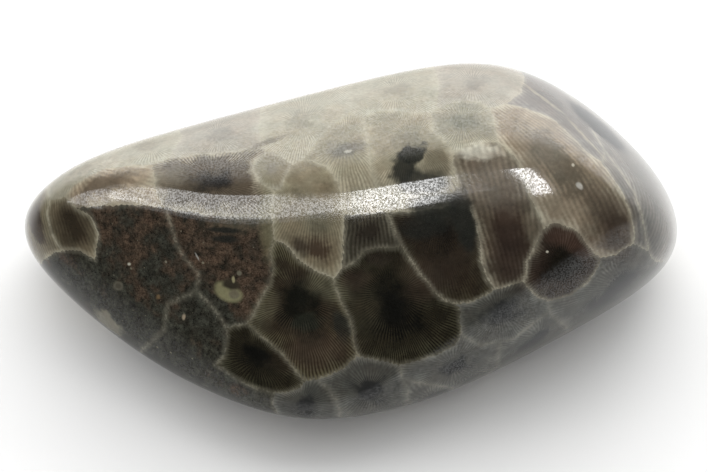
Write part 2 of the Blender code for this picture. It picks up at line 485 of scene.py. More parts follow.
SHOWN_CORALLITES = {
    "a": Corallite(Fill.PALE, (303, 124), (
        (262, 104), (330, 88), (350, 84), (348, 98), (350, 113), (338, 122), (320, 137),
        (310, 150), (304, 160), (292, 164), (285, 158), (272, 152), (262, 148), (258, 128),
    ), septa=60),
    "b_upper": Corallite(Fill.STRAW, (345, 148), (
        (338, 122), (350, 113), (362, 118), (367, 138), (370, 160), (375, 180), (380, 200),
        (386, 212), (345, 215), (341, 195), (335, 176), (326, 166), (312, 161), (304, 160),
        (310, 150), (320, 137),
    ), septa=66, wide=1.1, tall=0.8, origin=(0.0, 1.5)),
    "b_lower": Corallite(Fill.COMB, (370, 232), (
        (345, 215), (386, 212), (393, 229), (401, 246), (392, 248), (380, 247), (366, 251),
        (356, 262), (346, 266), (342, 250), (343, 232),
    ), septa=215, wide=1.2, tall=1.3, turn=4, origin=(0.0, 14.0)),
    "c": Corallite(Fill.PALE, (395, 92), (
        (350, 84), (385, 72), (430, 60), (438, 78), (438, 95), (436, 109), (426, 112),
        (415, 113), (400, 111), (385, 110), (372, 113), (362, 118), (350, 113), (348, 98),
    ), septa=60),
    "d": Corallite(Fill.BRONZE, (316, 250), (
        (283, 190), (284, 178), (292, 167), (302, 161), (312, 161), (326, 166), (335, 176),
        (341, 195), (345, 215), (343, 232), (344, 250), (342, 264), (334, 278), (320, 273),
        (310, 268), (300, 261), (292, 252), (283, 243), (274, 240), (272, 222), (272, 203),
        (274, 192),
    ), septa=185, tall=0.85, origin=(0.0, 13.0)),
    "e": Corallite(Fill.BUD, (271, 169), (
        (272, 152), (285, 158), (290, 166), (286, 178), (279, 187), (267, 187), (258, 181),
        (253, 171), (255, 160), (263, 154),
    ), septa=40),
    "f": Corallite(Fill.COAL, (392, 305), (
        (356, 262), (366, 251), (380, 247), (392, 248), (401, 246), (410, 260), (420, 275),
        (433, 290), (443, 300), (455, 304), (461, 312), (461, 335), (455, 345), (438, 355),
        (400, 365), (375, 360), (358, 356), (354, 338), (350, 318), (340, 300), (335, 286),
        (334, 278), (344, 268),
    ), septa=78, wide=1.1, tall=1.25, origin=(0.0, 1.0)),
    "g": Corallite(Fill.OLIVE, (300, 300), (
        (274, 240), (283, 243), (292, 252), (300, 261), (310, 268), (320, 273), (334, 278),
        (335, 286), (340, 300), (350, 318), (354, 338), (358, 356), (340, 371), (318, 380),
        (302, 378), (290, 365), (280, 352), (262, 338), (247, 324), (252, 316), (258, 305),
        (263, 294), (270, 283), (273, 270), (271, 255),
    ), septa=74, wide=1.15, tall=1.05, turn=-20),
    "h": Corallite(Fill.COAL, (260, 356), (
        (227, 329), (247, 324), (262, 338), (280, 352), (290, 365), (302, 378), (300, 388),
        (285, 393), (262, 390), (245, 384), (230, 374), (216, 365), (224, 356), (226, 342),
    ), septa=62, wide=1.2, tall=0.9, turn=-35),
    "i": Corallite(Fill.SLATE_WITH_PAINTED_SHEEN, (303, 404), (
        (275, 394), (285, 393), (300, 388), (318, 380), (328, 388), (336, 400), (340, 424),
        (310, 426), (280, 416), (272, 404),
    ), septa=48),
    "j": Corallite(Fill.SLATE_WITH_PAINTED_SHEEN, (370, 390), (
        (318, 380), (340, 371), (358, 356), (375, 360), (400, 365), (401, 378), (408, 388),
        (406, 412), (380, 422), (345, 426), (336, 400), (328, 388),
    ), septa=56, wide=1.2, tall=0.9),
    "k_upper": Corallite(Fill.STRAW, (412, 140), (
        (362, 118), (372, 113), (385, 110), (400, 111), (415, 113), (426, 112), (432, 118),
        (432, 128), (437, 134), (445, 140), (453, 150), (453, 162), (455, 175), (459, 187),
        (466, 200), (440, 208), (412, 212), (386, 212), (380, 200), (375, 180), (370, 160),
        (367, 138),
    ), septa=78, wide=1.2),
    "k_lower": Corallite(Fill.SOOT, (437, 222), (
        (386, 212), (412, 212), (440, 208), (466, 200), (471, 212), (476, 222), (478, 235),
        (480, 248), (482, 262), (487, 278), (495, 290), (485, 296), (470, 302), (455, 304),
        (443, 300), (433, 290), (420, 275), (410, 260), (401, 246), (393, 229),
    ), septa=90, wide=1.3, turn=-15),
    "l": Corallite(Fill.UMBER, (508, 222), (
        (456, 152), (465, 146), (480, 143), (500, 142), (510, 152), (518, 162), (524, 176),
        (530, 194), (536, 207), (542, 219), (540, 237), (533, 250), (528, 262), (525, 276),
        (519, 283), (505, 287), (495, 290), (487, 278), (482, 262), (480, 248), (478, 235),
        (476, 222), (471, 212), (466, 200), (459, 187), (455, 175), (453, 162),
    ), septa=150, wide=0.9, tall=2.0, turn=12, origin=(0.0, -18.0)),
    "m": Corallite(Fill.MOSS, (462, 122), (
        (436, 109), (448, 104), (462, 101), (480, 102), (489, 108), (494, 120), (497, 133),
        (498, 142), (480, 143), (465, 146), (456, 152), (453, 150), (445, 140), (437, 134),
        (432, 128), (432, 118),
    ), septa=66, wide=1.1, tall=0.9),
    "n": Corallite(Fill.ROSE, (472, 84), (
        (430, 60), (470, 52), (512, 58), (524, 76), (522, 92), (506, 104), (489, 108),
        (480, 102), (462, 101), (448, 104), (436, 109), (438, 95), (438, 78),
    ), septa=60),
    "o": Corallite(Fill.LILAC, (548, 98), (
        (512, 58), (545, 68), (566, 88), (578, 108), (592, 130), (604, 150), (602, 163),
        (585, 150), (570, 135), (557, 122), (545, 115), (525, 108), (506, 104), (522, 92),
        (524, 76),
    ), septa=190, tall=2.0, turn=50, origin=(0.0, 22.0)),
    "p": Corallite(Fill.TAN, (556, 160), (
        (489, 108), (506, 104), (525, 108), (545, 115), (557, 122), (570, 135), (585, 150),
        (602, 163), (618, 185), (628, 205), (634, 225), (634, 243), (615, 255), (600, 258),
        (592, 250), (585, 241), (575, 230), (560, 224), (551, 223), (545, 229), (542, 219),
        (536, 207), (530, 194), (524, 176), (518, 162), (510, 152), (498, 142), (497, 133),
        (494, 120),
    ), septa=220, tall=2.0, turn=38, origin=(0.0, 22.0)),
    "q": Corallite(Fill.RUST, (562, 264), (
        (545, 229), (551, 223), (560, 224), (575, 230), (585, 241), (592, 250), (600, 258),
        (598, 268), (588, 283), (570, 295), (550, 301), (536, 296), (527, 286), (525, 276),
        (528, 262), (533, 250), (540, 237),
    ), septa=66, wide=1.2),
    "r_lower": Corallite(Fill.ASH, (625, 200), (
        (602, 163), (604, 150), (618, 168), (634, 192), (642, 216), (646, 238), (649, 252),
        (634, 243), (634, 225), (628, 205), (618, 185),
    ), septa=190, tall=2.0, turn=28, origin=(0.0, 22.0)),
    "r_upper": Corallite(Fill.ASH, (640, 175), (
        (578, 108), (566, 88), (610, 110), (660, 160), (690, 225), (680, 262), (655, 262),
        (649, 252), (646, 238), (642, 216), (634, 192), (618, 168), (604, 150), (592, 130),
    ), septa=170, tall=3.0, turn=32, origin=(0.0, 22.0)),
    "s_end": Corallite(Fill.SLATE_WITH_PAINTED_SHEEN, (620, 285), (
        (600, 258), (615, 255), (634, 243), (649, 252), (655, 262), (680, 262), (650, 300),
        (600, 330), (575, 335), (549, 312), (550, 301), (570, 295), (588, 283), (598, 268),
    ), septa=56, wide=1.4, tall=0.8, turn=28),
    "s_middle": Corallite(Fill.SLATE_WITH_PAINTED_SHEEN, (500, 312), (
        (455, 304), (470, 302), (485, 296), (495, 290), (505, 287), (519, 283), (527, 286),
        (536, 296), (550, 301), (549, 312), (530, 326), (515, 338), (500, 342), (480, 345),
        (461, 335), (461, 312),
    ), septa=60, wide=1.3, tall=0.9, turn=20),
    "s_edge": Corallite(Fill.SLATE_WITH_PAINTED_SHEEN, (540, 336), (
        (549, 312), (575, 335), (550, 352), (515, 372), (497, 366), (500, 342), (515, 338),
        (530, 326),
    ), septa=50, wide=1.3, tall=0.7, turn=28),
    "s_low": Corallite(Fill.SLATE_WITH_PAINTED_SHEEN, (452, 366), (
        (461, 335), (480, 345), (500, 342), (497, 366), (480, 380), (455, 388), (425, 384),
        (401, 378), (400, 365), (438, 355), (455, 345),
    ), septa=50, wide=1.2, tall=0.8, turn=20),
    "s_foot": Corallite(Fill.SLATE_WITH_PAINTED_SHEEN, (430, 398), (
        (401, 378), (425, 384), (455, 388), (480, 380), (497, 366), (515, 372), (480, 400),
        (440, 414), (406, 412), (408, 388),
    ), septa=46, wide=1.3, tall=0.7, turn=20),
    "u_core": Corallite(Fill.INK, (212, 182), (
        (153, 164), (170, 158), (190, 155), (215, 154), (243, 151), (262, 148), (263, 154),
        (255, 160), (253, 171), (258, 181), (267, 187), (274, 192), (272, 203), (272, 216),
        (240, 217), (200, 214), (165, 207), (157, 195), (154, 178),
    ), septa=70, wide=1.5, tall=0.8),
    "u_brown": Corallite(Fill.TAWNY, (100, 182), (
        (66, 196), (74, 186), (88, 176), (104, 169), (130, 165), (153, 164), (154, 178),
        (157, 195), (165, 207), (130, 205), (96, 206), (76, 208),
    ), septa=60, wide=1.8, tall=0.9, turn=12, origin=(-2.0, 5.0)),
    "u_fan": Corallite(Fill.PALE, (150, 146), (
        (108, 150), (140, 132), (178, 120), (182, 138), (172, 152), (170, 158), (153, 164),
        (130, 165), (104, 169),
    ), septa=56),
    "u_rose": Corallite(Fill.ROSE, (218, 136), (
        (178, 120), (220, 108), (262, 104), (258, 128), (262, 148), (243, 151), (215, 154),
        (190, 155), (170, 158), (172, 152), (182, 138),
    ), septa=60),
    "u_end": Corallite(Fill.PALE, (84, 168), (
        (44, 182), (70, 160), (108, 150), (104, 169), (88, 176), (74, 186), (66, 196),
        (50, 200),
    ), septa=50),
    "t_left": Corallite(Fill.MUD, (130, 260), (
        (76, 208), (96, 206), (130, 205), (165, 207), (169, 219), (173, 232), (177, 246),
        (186, 260), (199, 274), (196, 291), (184, 297), (168, 304), (164, 330), (140, 352),
        (95, 330), (52, 284), (46, 258), (62, 250), (80, 251), (95, 259), (99, 235), (92, 216),
    )),
    "t_right": Corallite(Fill.MUD, (225, 262), (
        (165, 207), (200, 214), (240, 217), (272, 216), (274, 240), (271, 255), (273, 270),
        (270, 283), (263, 294), (258, 305), (252, 316), (247, 324), (227, 329), (218, 314),
        (207, 301), (196, 291), (199, 274), (186, 260), (177, 246), (173, 232), (169, 219),
    )),
    "t_low": Corallite(Fill.MUD, (185, 345), (
        (196, 291), (207, 301), (218, 314), (227, 329), (226, 342), (224, 356), (216, 365),
        (230, 374), (245, 384), (262, 390), (275, 394), (272, 404), (280, 416), (220, 402),
        (170, 380), (140, 352), (164, 330), (168, 304), (184, 297),
    )),
    "w_tip": Corallite(Fill.BRONZE, (38, 226), (
        (20, 225), (26, 205), (44, 182), (50, 200), (47, 214), (52, 234), (60, 250), (46, 258),
        (32, 250),
    ), septa=120, wide=0.8, tall=2.0, turn=15, origin=(0.0, 12.0)),
    "w_next": Corallite(Fill.BRONZE, (75, 226), (
        (50, 200), (66, 196), (76, 208), (92, 216), (99, 235), (95, 259), (80, 251), (62, 250),
        (52, 234), (47, 214),
    ), septa=110, wide=0.8, tall=1.8, turn=25, origin=(0.0, 12.0)),
}


class Site(NamedTuple):
    """A corallite set on the stone.

    Its axes are its stretched width, its stretched height and its depth.  The wall is a closed
    row of points on the stone, and empty where the wall is half way to the next corallite.
    """

    middle: np.ndarray
    axes: np.ndarray
    wall: np.ndarray
    outline: tuple[Pixel, ...]
    origin: tuple[float, float]
    fill: float
    septa: float


@dataclass
class Colony:
    """All corallites of the stone, and the places that the mesh's corners have in them.

    Attributes:
        form: the stone.
        viewpoint: where the shown corallites' pixels are seen from.
        seed: of the hidden side's jitter.
        cell: mm from a hidden corallite's middle to its wall.
        tries: how many places on the stone are tried for a hidden corallite.
        step: pixels between the points of a wall.
        least_width: the least that a width may point right before it points up instead.
        halvings: how many times the way back to a core is halved.
        spread: how far the tries are stretched, across, along and up.
        jitter: how far they are then shifted at most.
        stretch: the least and the most that a hidden corallite is stretched.
        septa: the fewest septa that it has, and one more than the most.
        overlap: mm by which it may come nearer to another than two cells.
        widening: how far the septa spread at most where the stone bends away.
        sites: the corallites, once laid out.
    """

    form: StoneForm
    viewpoint: Viewpoint
    seed: int = 7
    cell: float = 4.6
    tries: int = 220
    step: float = 6.0
    least_width: float = 0.2
    halvings: int = 9
    spread: tuple[float, float, float] = (1.9, 1.0, 0.8)
    jitter: tuple[float, float, float] = (0.12, 0.1, 0.08)
    stretch: tuple[float, float] = (0.85, 1.2)
    septa: tuple[int, int] = (48, 72)
    overlap: float = 0.4
    widening: float = 3.0
    sites: list[Site] = field(default_factory=list)

    def tangent_axes(self, normal: np.ndarray, turn: float) -> tuple[np.ndarray, np.ndarray]:
        """The width and height directions of a corallite on the surface.

        Args:
            normal: the surface's direction there.
            turn: degrees that the width is turned.

        Returns:
            Two unit vectors in the surface.
        """
        right = self.viewpoint.right()
        across = right - (right @ normal) * normal
        if np.linalg.norm(across) < self.least_width:
            across = np.cross(self.viewpoint.up(), normal)
        across /= np.linalg.norm(across)
        return turned(across, np.cross(normal, across), turn)

    def land(self, spot: np.ndarray, core: np.ndarray) -> np.ndarray:
        """Puts a pixel on the stone, drawn in towards a core where it misses.

        Args:
            spot: the pixel.
            core: a pixel that is on the stone.

        Returns:
            The point about the stone's middle.
        """
        point = self.form.meet(*self.viewpoint.ray(*spot))
        if point is not None:
            return point
        hit, miss = 0.0, 1.0
        for _ in range(self.halvings):
            share = (hit + miss) / 2
            if self.form.meet(*self.viewpoint.ray(*(core + share * (spot - core)))) is None:
                miss = share
            else:
                hit = share
        return self.form.meet(*self.viewpoint.ray(*(core + hit * (spot - core))))

    def lay_shown(self) -> None:
        """Sets the corallites whose walls are drawn in pixels."""
        for cup in SHOWN_CORALLITES.values():
            core = np.array(cup.core, float)
            middle = self.land(core, core)
            wide, tall = self.tangent_axes(self.form.normals(middle[None])[0], cup.turn)
            depth = np.cross(wide, tall)
            wall = []
            corners = np.array(cup.outline, float)
            for start, end in zip(corners, np.roll(corners, -1, axis=0)):
                count = max(1, round(float(np.linalg.norm(end - start)) / self.step))
                for step in range(count):
                    wall.append(self.land(start + (end - start) * step / count, core))
            axes = np.array((wide / cup.wide, tall / cup.tall, depth))
            self.sites.append(Site(
                middle, axes, np.array(wall), cup.outline, cup.origin, cup.fill.index(), cup.septa
            ))

    def lay_hidden(self) -> None:
        """Spreads further corallites, evenly but unevenly turned, over what is left."""
        chance = random.Random(self.seed)
        golden = math.pi * (3.0 - math.sqrt(5.0))
        for step in range(self.tries):
            rise = 1.0 - 2.0 * (step + 0.5) / self.tries
            swing = math.sqrt(1.0 - rise * rise)
            spiral = (swing * math.cos(golden * step), swing * math.sin(golden * step), rise)
            way = np.array([
                part * spread + chance.uniform(-jitter, jitter)
                for part, spread, jitter in zip(spiral, self.spread, self.jitter)
            ])
            stretch = (chance.uniform(*self.stretch), chance.uniform(*self.stretch))
            turn = chance.uniform(0.0, 180.0)
            fill = chance.choice(HIDDEN_FILLS)
            septa = chance.randrange(*self.septa)
            middle = way / self.form.fullness(way[None])[0]
            if self.reach(middle[None]).min() < 2.0 * self.cell - self.overlap:
                continue
            wide, tall = self.tangent_axes(self.form.normals(middle[None])[0], turn)
            axes = np.array((wide / stretch[0], tall / stretch[1], np.cross(wide, tall)))
            no_wall = np.zeros((0, 3))
            self.sites.append(Site(middle, axes, no_wall, (), (0.0, 0.0), fill.index(), septa))

    def inside(self, spots: np.ndarray, outline: tuple[Pixel, ...]) -> np.ndarray:
        """Says which pixels are inside an outline.

        Args:
            spots: the pixels, a row each.
            outline: the corners.

        Returns:
            True for each pixel inside.
        """
        within = np.zeros(len(spots), bool)
        for (x0, y0), (x1, y1) in zip(outline, outline[1:] + outline[:1]):
            if y0 == y1:
                continue
            beside = (spots[:, 1] >= min(y0, y1)) & (spots[:, 1] < max(y0, y1))
            cross = x0 + (spots[:, 1] - y0) * (x1 - x0) / (y1 - y0)
            within ^= beside & (spots[:, 0] < cross)
        return within

    def wall_distance(self, points: np.ndarray, wall: np.ndarray) -> np.ndarray:
        """How far points are from a wall.

        Args:
            points: positions about the stone's middle, a row each.
            wall: the wall's points, closed.

        Returns:
            The distances in mm.
        """
        along = np.roll(wall, -1, axis=0) - wall
        length = np.maximum((along ** 2).sum(axis=1), LEAST_SQUARE)
        away = points[:, None, :] - wall[None, :, :]
        share = np.clip(np.einsum("nmi,mi->nm", away, along) / length, 0.0, 1.0)
        away -= share[:, :, None] * along
        return np.sqrt(np.einsum("nmi,nmi->nm", away, away).min(axis=1))

    def reach(self, points: np.ndarray) -> np.ndarray:
        """How far points are out of each corallite; its wall is where two are equal.

        Args:
            points: positions about the stone's middle, a row each.

        Returns:
            A row for each point, a column for each corallite.
        """
        spots = self.viewpoint.pixels(points)
        facing = self.form.normals(points) @ self.viewpoint.back() > 0.0
        columns = []
        for site in self.sites:
            far = np.linalg.norm((points - site.middle) @ site.axes.T, axis=1)
            if len(site.wall):
                size = np.linalg.norm(site.wall - site.middle, axis=1).max()
                away = np.linalg.norm(points - site.middle, axis=1)
                close = away < size + self.cell
                far = away + self.cell
                out = self.wall_distance(points[close], site.wall)
                within = self.inside(spots[close], site.outline) & facing[close]
                far[close] = self.cell + np.where(within, -out, out)
            columns.append(far)
        return np.stack(columns, axis=1)

    def mark(self, mesh: bpy.types.Mesh, points: np.ndarray) -> None:
        """Writes each corner's places in the three nearest corallites on the mesh.

        Args:
            mesh: the stone's mesh.
            points: its vertices about the stone's middle, a row each.
        """
        corners = np.zeros(len(mesh.loops), np.int32)
        mesh.loops.foreach_get("vertex_index", corners)
        sides = len(mesh.loops) // len(mesh.polygons)
        reach = self.reach(points)
        middle_reach = reach[corners].reshape(-1, sides, len(self.sites)).mean(axis=1)
        order = np.argsort(middle_reach, axis=1)[:, :len(RANKS)]
        picks_by_rank = np.repeat(order, sides, axis=0).T
        middles = np.array([site.middle for site in self.sites])
        axes = np.array([site.axes for site in self.sites])
        origins = np.array([site.origin for site in self.sites])
        fills = np.array([site.fill for site in self.sites])
        septa = np.array([site.septa for site in self.sites])
        stretch = 1.0 / np.linalg.norm(axes[:, :2], axis=2)
        for rank, picks in zip(RANKS, picks_by_rank):
            away = points[corners] - middles[picks]
            far = np.linalg.norm(away, axis=1)
            flat = np.einsum("nij,nj->ni", axes[picks], away)[:, :2]
            plain = np.linalg.norm(flat * stretch[picks], axis=1)
            widen = np.clip(far / np.maximum(plain, LEAST_LENGTH), 1.0, self.widening)
            spokes = flat * widen[:, None] - origins[picks]
            cores = np.linalg.norm(flat * widen[:, None], axis=1)
            place = np.column_stack((spokes, reach[corners, picks]))
            trait = np.column_stack((fills[picks], septa[picks], cores))
            self.write(mesh, f"cup_{rank}_place", place)
            self.write(mesh, f"cup_{rank}_trait", trait)

    def write(self, mesh: bpy.types.Mesh, name: str, rows: np.ndarray) -> None:
        """Stores one vector for each corner of a mesh.

        Args:
            mesh: the mesh.
            name: of the attribute.
            rows: the vectors.
        """
        layer = mesh.attributes.new(name, "FLOAT_VECTOR", "CORNER")
        layer.data.foreach_set("vector", rows.astype(np.float32).ravel())


# ---------------------------------------------------------------- nodes


class Noise(NamedTuple):
    """A smooth noise: its features per unit of length, its finer layers, and its cut in 4-D."""

    scale: float
    detail: float
    w: Optional[float] = None


class Span(NamedTuple):
    """A smooth step: where it begins and ends, and its values there."""

    low: float
    high: float
    start: float = 0.0
    end: float = 1.0


@dataclass
class Bench:
    """Places and wires the nodes of one tree."""

    tree: bpy.types.NodeTree

    def add(self, kind: str, **settings: object) -> bpy.types.Node:
        """Adds a node and sets its properties.

        Args:
            kind: the node's type.
            settings: its properties by name.

        Returns:
            The node.
        """
        node = self.tree.nodes.new(kind)
        for name, value in settings.items():
            setattr(node, name, value)
        return node

    def feed(self, socket: bpy.types.NodeSocket, value: object) -> None:
        """Links a socket into another, or sets a plain value on it.

        Args:
            socket: the input.
            value: an output, or a plain value.
        """
        if isinstance(value, bpy.types.NodeSocket):
            self.tree.links.new(value, socket)
        else:
            socket.default_value = value

    def maths(self, operation: str, *values: Number) -> bpy.types.NodeSocket:
        """Adds a Math node.

        Args:
            operation: what it does.
            values: up to three numbers.

        Returns:
            Its output.
        """
        node = self.add("ShaderNodeMath", operation=operation)
        for socket, value in zip(node.inputs, values):
            self.feed(socket, value)
        return node.outputs[0]

    def shake(self, value: Number, noise: Number, size: Number) -> bpy.types.NodeSocket:
        """Shifts a value up and down with a noise.

        Args:
            value: the number that is shifted.
            noise: the noise, a half in its middle.
            size: how much a whole step of noise shifts it.

        Returns:
            The shifted value.
        """
        return self.maths("MULTIPLY_ADD", self.maths("SUBTRACT", noise, 0.5), size, value)

    def vectors(self, operation: str, *values: object) -> bpy.types.NodeSocket:
        """Adds a Vector Math node.

        Args:
            operation: what it does.
            values: up to three vectors.

        Returns:
            Its value for a length or a dot product, otherwise its vector.
        """
        node = self.add("ShaderNodeVectorMath", operation=operation)
        for socket, value in zip(node.inputs, values):
            self.feed(socket, value)
        return node.outputs["Value" if operation in ("LENGTH", "DOT_PRODUCT") else "Vector"]

    def scaled(self, vector: bpy.types.NodeSocket, factor: Number) -> bpy.types.NodeSocket:
        """Multiplies a vector by a number.

        Args:
            vector: the vector.
            factor: the number.

        Returns:
            The product.
        """
        node = self.add("ShaderNodeVectorMath", operation="SCALE")
        self.feed(node.inputs["Vector"], vector)
        self.feed(node.inputs["Scale"], factor)
        return node.outputs["Vector"]

    def mix(self, share: Number, first: object, second: object) -> bpy.types.NodeSocket:
        """Mixes two colours.

        Args:
            share: 0 for the first, 1 for the second.
            first: a colour.
            second: another.

        Returns:
            The colour between them.
        """
        node = self.add("ShaderNodeMix", data_type="RGBA")
        for place, value in ((0, share), (6, first), (7, second)):
            self.feed(node.inputs[place], value)
        return node.outputs[2]

    def pick(self, share: Number, first: Number, second: Number) -> bpy.types.NodeSocket:
        """Mixes two numbers.

        Args:
            share: 0 for the first, 1 for the second.
            first: a number.
            second: another.

        Returns:
            The number between them.
        """
        node = self.add("ShaderNodeMix", data_type="FLOAT")
        for place, value in ((0, share), (2, first), (3, second)):
            self.feed(node.inputs[place], value)
        return node.outputs[0]

    def ease(
        self, value: Number, low: Number, high: Number, start: Number = 0.0, end: Number = 1.0
    ) -> bpy.types.NodeSocket:
        """Takes a value through a smooth step.

        Args:
            value: the value.
            low: where the step begins.
            high: where it ends.
            start: what it gives up to low.
            end: what it gives from high on.

        Returns:
            The step's value.
        """
        node = self.add("ShaderNodeMapRange", interpolation_type="SMOOTHSTEP")
        for socket, given in zip(node.inputs, (value, low, high, start, end)):
            self.feed(socket, given)
        return node.outputs[0]

    def noise(
        self,
        point: bpy.types.NodeSocket,
        scale: float,
        detail: float,
        w: Optional[Number] = None,
        output: str = "Fac",
    ) -> bpy.types.NodeSocket:
        """Reads a smooth noise at a point.

        Args:
            point: the place.
            scale: features per unit of length.
            detail: finer layers.
            w: its cut in 4-D, or None for a plain noise.
            output: "Fac" for a number or "Color" for three.

        Returns:
            The noise, a half in its middle.
        """
        node = self.add("ShaderNodeTexNoise", noise_dimensions="3D" if w is None else "4D")
        self.feed(node.inputs["Vector"], point)
        self.feed(node.inputs["Scale"], scale)
        self.feed(node.inputs["Detail"], detail)
        if w is not None:
            self.feed(node.inputs["W"], w)
        return node.outputs[output]

    def split(self, vector: bpy.types.NodeSocket) -> tuple[bpy.types.NodeSocket, ...]:
        """Takes a vector apart.

        Args:
            vector: the vector.

        Returns:
            Its three parts.
        """
        node = self.add("ShaderNodeSeparateXYZ")
        self.feed(node.inputs[0], vector)
        return tuple(node.outputs)

    def use(self, group: bpy.types.NodeTree, **values: object) -> bpy.types.Node:
        """Adds a group node.

        Args:
            group: the group's tree.
            values: its inputs by name, with underscores for spaces.

        Returns:
            The node.
        """
        node = self.add("ShaderNodeGroup", node_tree=group)
        for name, value in values.items():
            self.feed(node.inputs[name.replace("_", " ")], value)
        return node


class Kind(Enum):
    """The kinds of sockets that groups have."""

    NUMBER = "NodeSocketFloat"
    VECTOR = "NodeSocketVector"


@dataclass
class NodeGroup:
    """A shared effect with named inputs and outputs.

    Attributes:
        name: of the group.
        inputs: the kind of each named input.
        outputs: the kind of each named output.
    """

    name: str
    inputs: dict[str, Kind]
    outputs: dict[str, Kind]

    def __post_init__(self) -> None:
        """Makes the tree and its sockets."""
        self.tree = bpy.data.node_groups.new(self.name, "ShaderNodeTree")
        for direction, sockets in (("INPUT", self.inputs), ("OUTPUT", self.outputs)):
            for name, kind in sockets.items():
                self.tree.interface.new_socket(name, in_out=direction, socket_type=kind.value)
        self.bench = Bench(self.tree)
        self.given = self.bench.add("NodeGroupInput").outputs
        self.result = self.bench.add("NodeGroupOutput").inputs


@dataclass(frozen=True)
class CupReach:
    """The group that gives one corallite's distance and septa at a point.

    Attributes:
        bend: the noise that bends the septa.
        bend_size: how far it does, in mm.
        drift: the noise that shifts the wall, another one for each corallite.
        drift_size: how far it does, in mm.
        odd_septa: what a corallite's count of septa adds to its own number.
        odd_fill: what its filling adds.
        doubling: mm from its core between which every septum splits in two.
        most_doubled: the count of septa from which they don't split.
        teeth: how far the septa notch the wall, in mm.
    """

    bend: Noise = Noise(0.35, 1.0)
    bend_size: float = 0.5
    drift: Noise = Noise(0.5, 5.0)
    drift_size: float = 1.1
    odd_septa: float = 1.37
    odd_fill: float = 31.0
    doubling: Span = Span(3.2, 4.8)
    most_doubled: float = 100.0
    teeth: float = 0.1

    def build(self) -> bpy.types.NodeTree:
        """Makes the group.

        Returns:
            Its tree.
        """
        results = ("Distance", "Septum", "Fill", "Core")
        group = NodeGroup(
            "cup reach",
            {"Place": Kind.VECTOR, "Trait": Kind.VECTOR, "Point": Kind.VECTOR},
            {name: Kind.NUMBER for name in results},
        )
        bench = group.bench
        point = group.given["Point"]
        fill, septa, core = bench.split(group.given["Trait"])
        bend = bench.noise(point, *self.bend, output="Color")
        size = (self.bend_size, self.bend_size, 0.0)
        bent = bench.vectors("MULTIPLY_ADD", bend, size, group.given["Place"])
        across, along, far = bench.split(bent)
        odd = bench.maths("MULTIPLY", fill, self.odd_fill)
        odd = bench.maths("MULTIPLY_ADD", septa, self.odd_septa, odd)
        drift = bench.noise(point, self.drift.scale, self.drift.detail, odd)
        along = bench.maths("SUBTRACT", along, self.bend_size / 2)
        across = bench.maths("SUBTRACT", across, self.bend_size / 2)
        angle = bench.maths("ARCTAN2", along, across)
        round_in = bench.maths("MULTIPLY_ADD", angle, septa, odd)
        coarse = bench.maths("SINE", round_in)
        fine = bench.maths("SINE", bench.maths("MULTIPLY", round_in, 2.0))
        doubled = bench.ease(core, *self.doubling)
        splits = bench.maths("LESS_THAN", septa, self.most_doubled)
        doubled = bench.maths("MULTIPLY", doubled, splits)
        finer = bench.maths("SUBTRACT", fine, coarse)
        septum = bench.maths("MULTIPLY_ADD", finer, doubled, coarse)
        drifted = bench.shake(far, drift, self.drift_size)
        toothed = bench.maths("MULTIPLY_ADD", coarse, self.teeth, drifted)
        for name, value in zip(results, (toothed, septum, fill, core)):
            bench.feed(group.result[name], value)
        return group.tree


@dataclass(frozen=True)
class NearestCup:
    """The group that finds the nearest corallite at a point, and how far the next one is.

    Attributes:
        reach: the group that measures one corallite.
        beyond: mm past which no corallite matters.
    """

    reach: bpy.types.NodeTree
    beyond: float = 99.0

    def build(self) -> bpy.types.NodeTree:
        """Makes the group.

        Returns:
            Its tree.
        """
        carried = ("Septum", "Fill", "Core")
        traits = {f"{part} {rank}": Kind.VECTOR for rank in RANKS for part in ("Place", "Trait")}
        group = NodeGroup(
            "nearest cup",
            {"Point": Kind.VECTOR, **traits},
            {name: Kind.NUMBER for name in ("Near", "Next", *carried)},
        )
        bench = group.bench
        given = group.given
        cups = [
            bench.use(
                self.reach,
                Place=given[f"Place {rank}"],
                Trait=given[f"Trait {rank}"],
                Point=given["Point"],
            ).outputs
            for rank in RANKS
        ]
        near = cups[0]["Distance"]
        beyond: Number = self.beyond
        kept = {name: cups[0][name] for name in carried}
        for cup in cups[1:]:
            closer = bench.maths("LESS_THAN", cup["Distance"], near)
            pushed = bench.maths("MAXIMUM", cup["Distance"], near)
            beyond = bench.maths("MINIMUM", beyond, pushed)
            near = bench.maths("MINIMUM", cup["Distance"], near)
            kept = {name: bench.pick(closer, kept[name], cup[name]) for name in carried}
        for name, value in {"Near": near, "Next": beyond, **kept}.items():
            bench.feed(group.result[name], value)
        return group.tree


class SoftOval:
    """The group that draws a soft-edged oval, 1 in its middle and 0 outside."""

    def build(self) -> bpy.types.NodeTree:
        """Makes the group.

        Returns:
            Its tree.
        """
        laid = {"Point": "Vector", "Middle": "Location", "Turn": "Rotation", "Size": "Scale"}
        group = NodeGroup(
            "stain",
            {**{name: Kind.VECTOR for name in laid}, "Softness": Kind.NUMBER},
            {"Mask": Kind.NUMBER},
        )
        bench = group.bench
        mapping = bench.add("ShaderNodeMapping", vector_type="TEXTURE")
        for name, socket in laid.items():
            bench.feed(mapping.inputs[socket], group.given[name])
        far = bench.vectors("LENGTH", mapping.outputs[0])
        inner = bench.maths("SUBTRACT", 1.0, group.given["Softness"])
        outer = bench.maths("ADD", 1.0, group.given["Softness"])
        bench.feed(group.result["Mask"], bench.ease(far, inner, outer, 1.0, 0.0))
        return group.tree


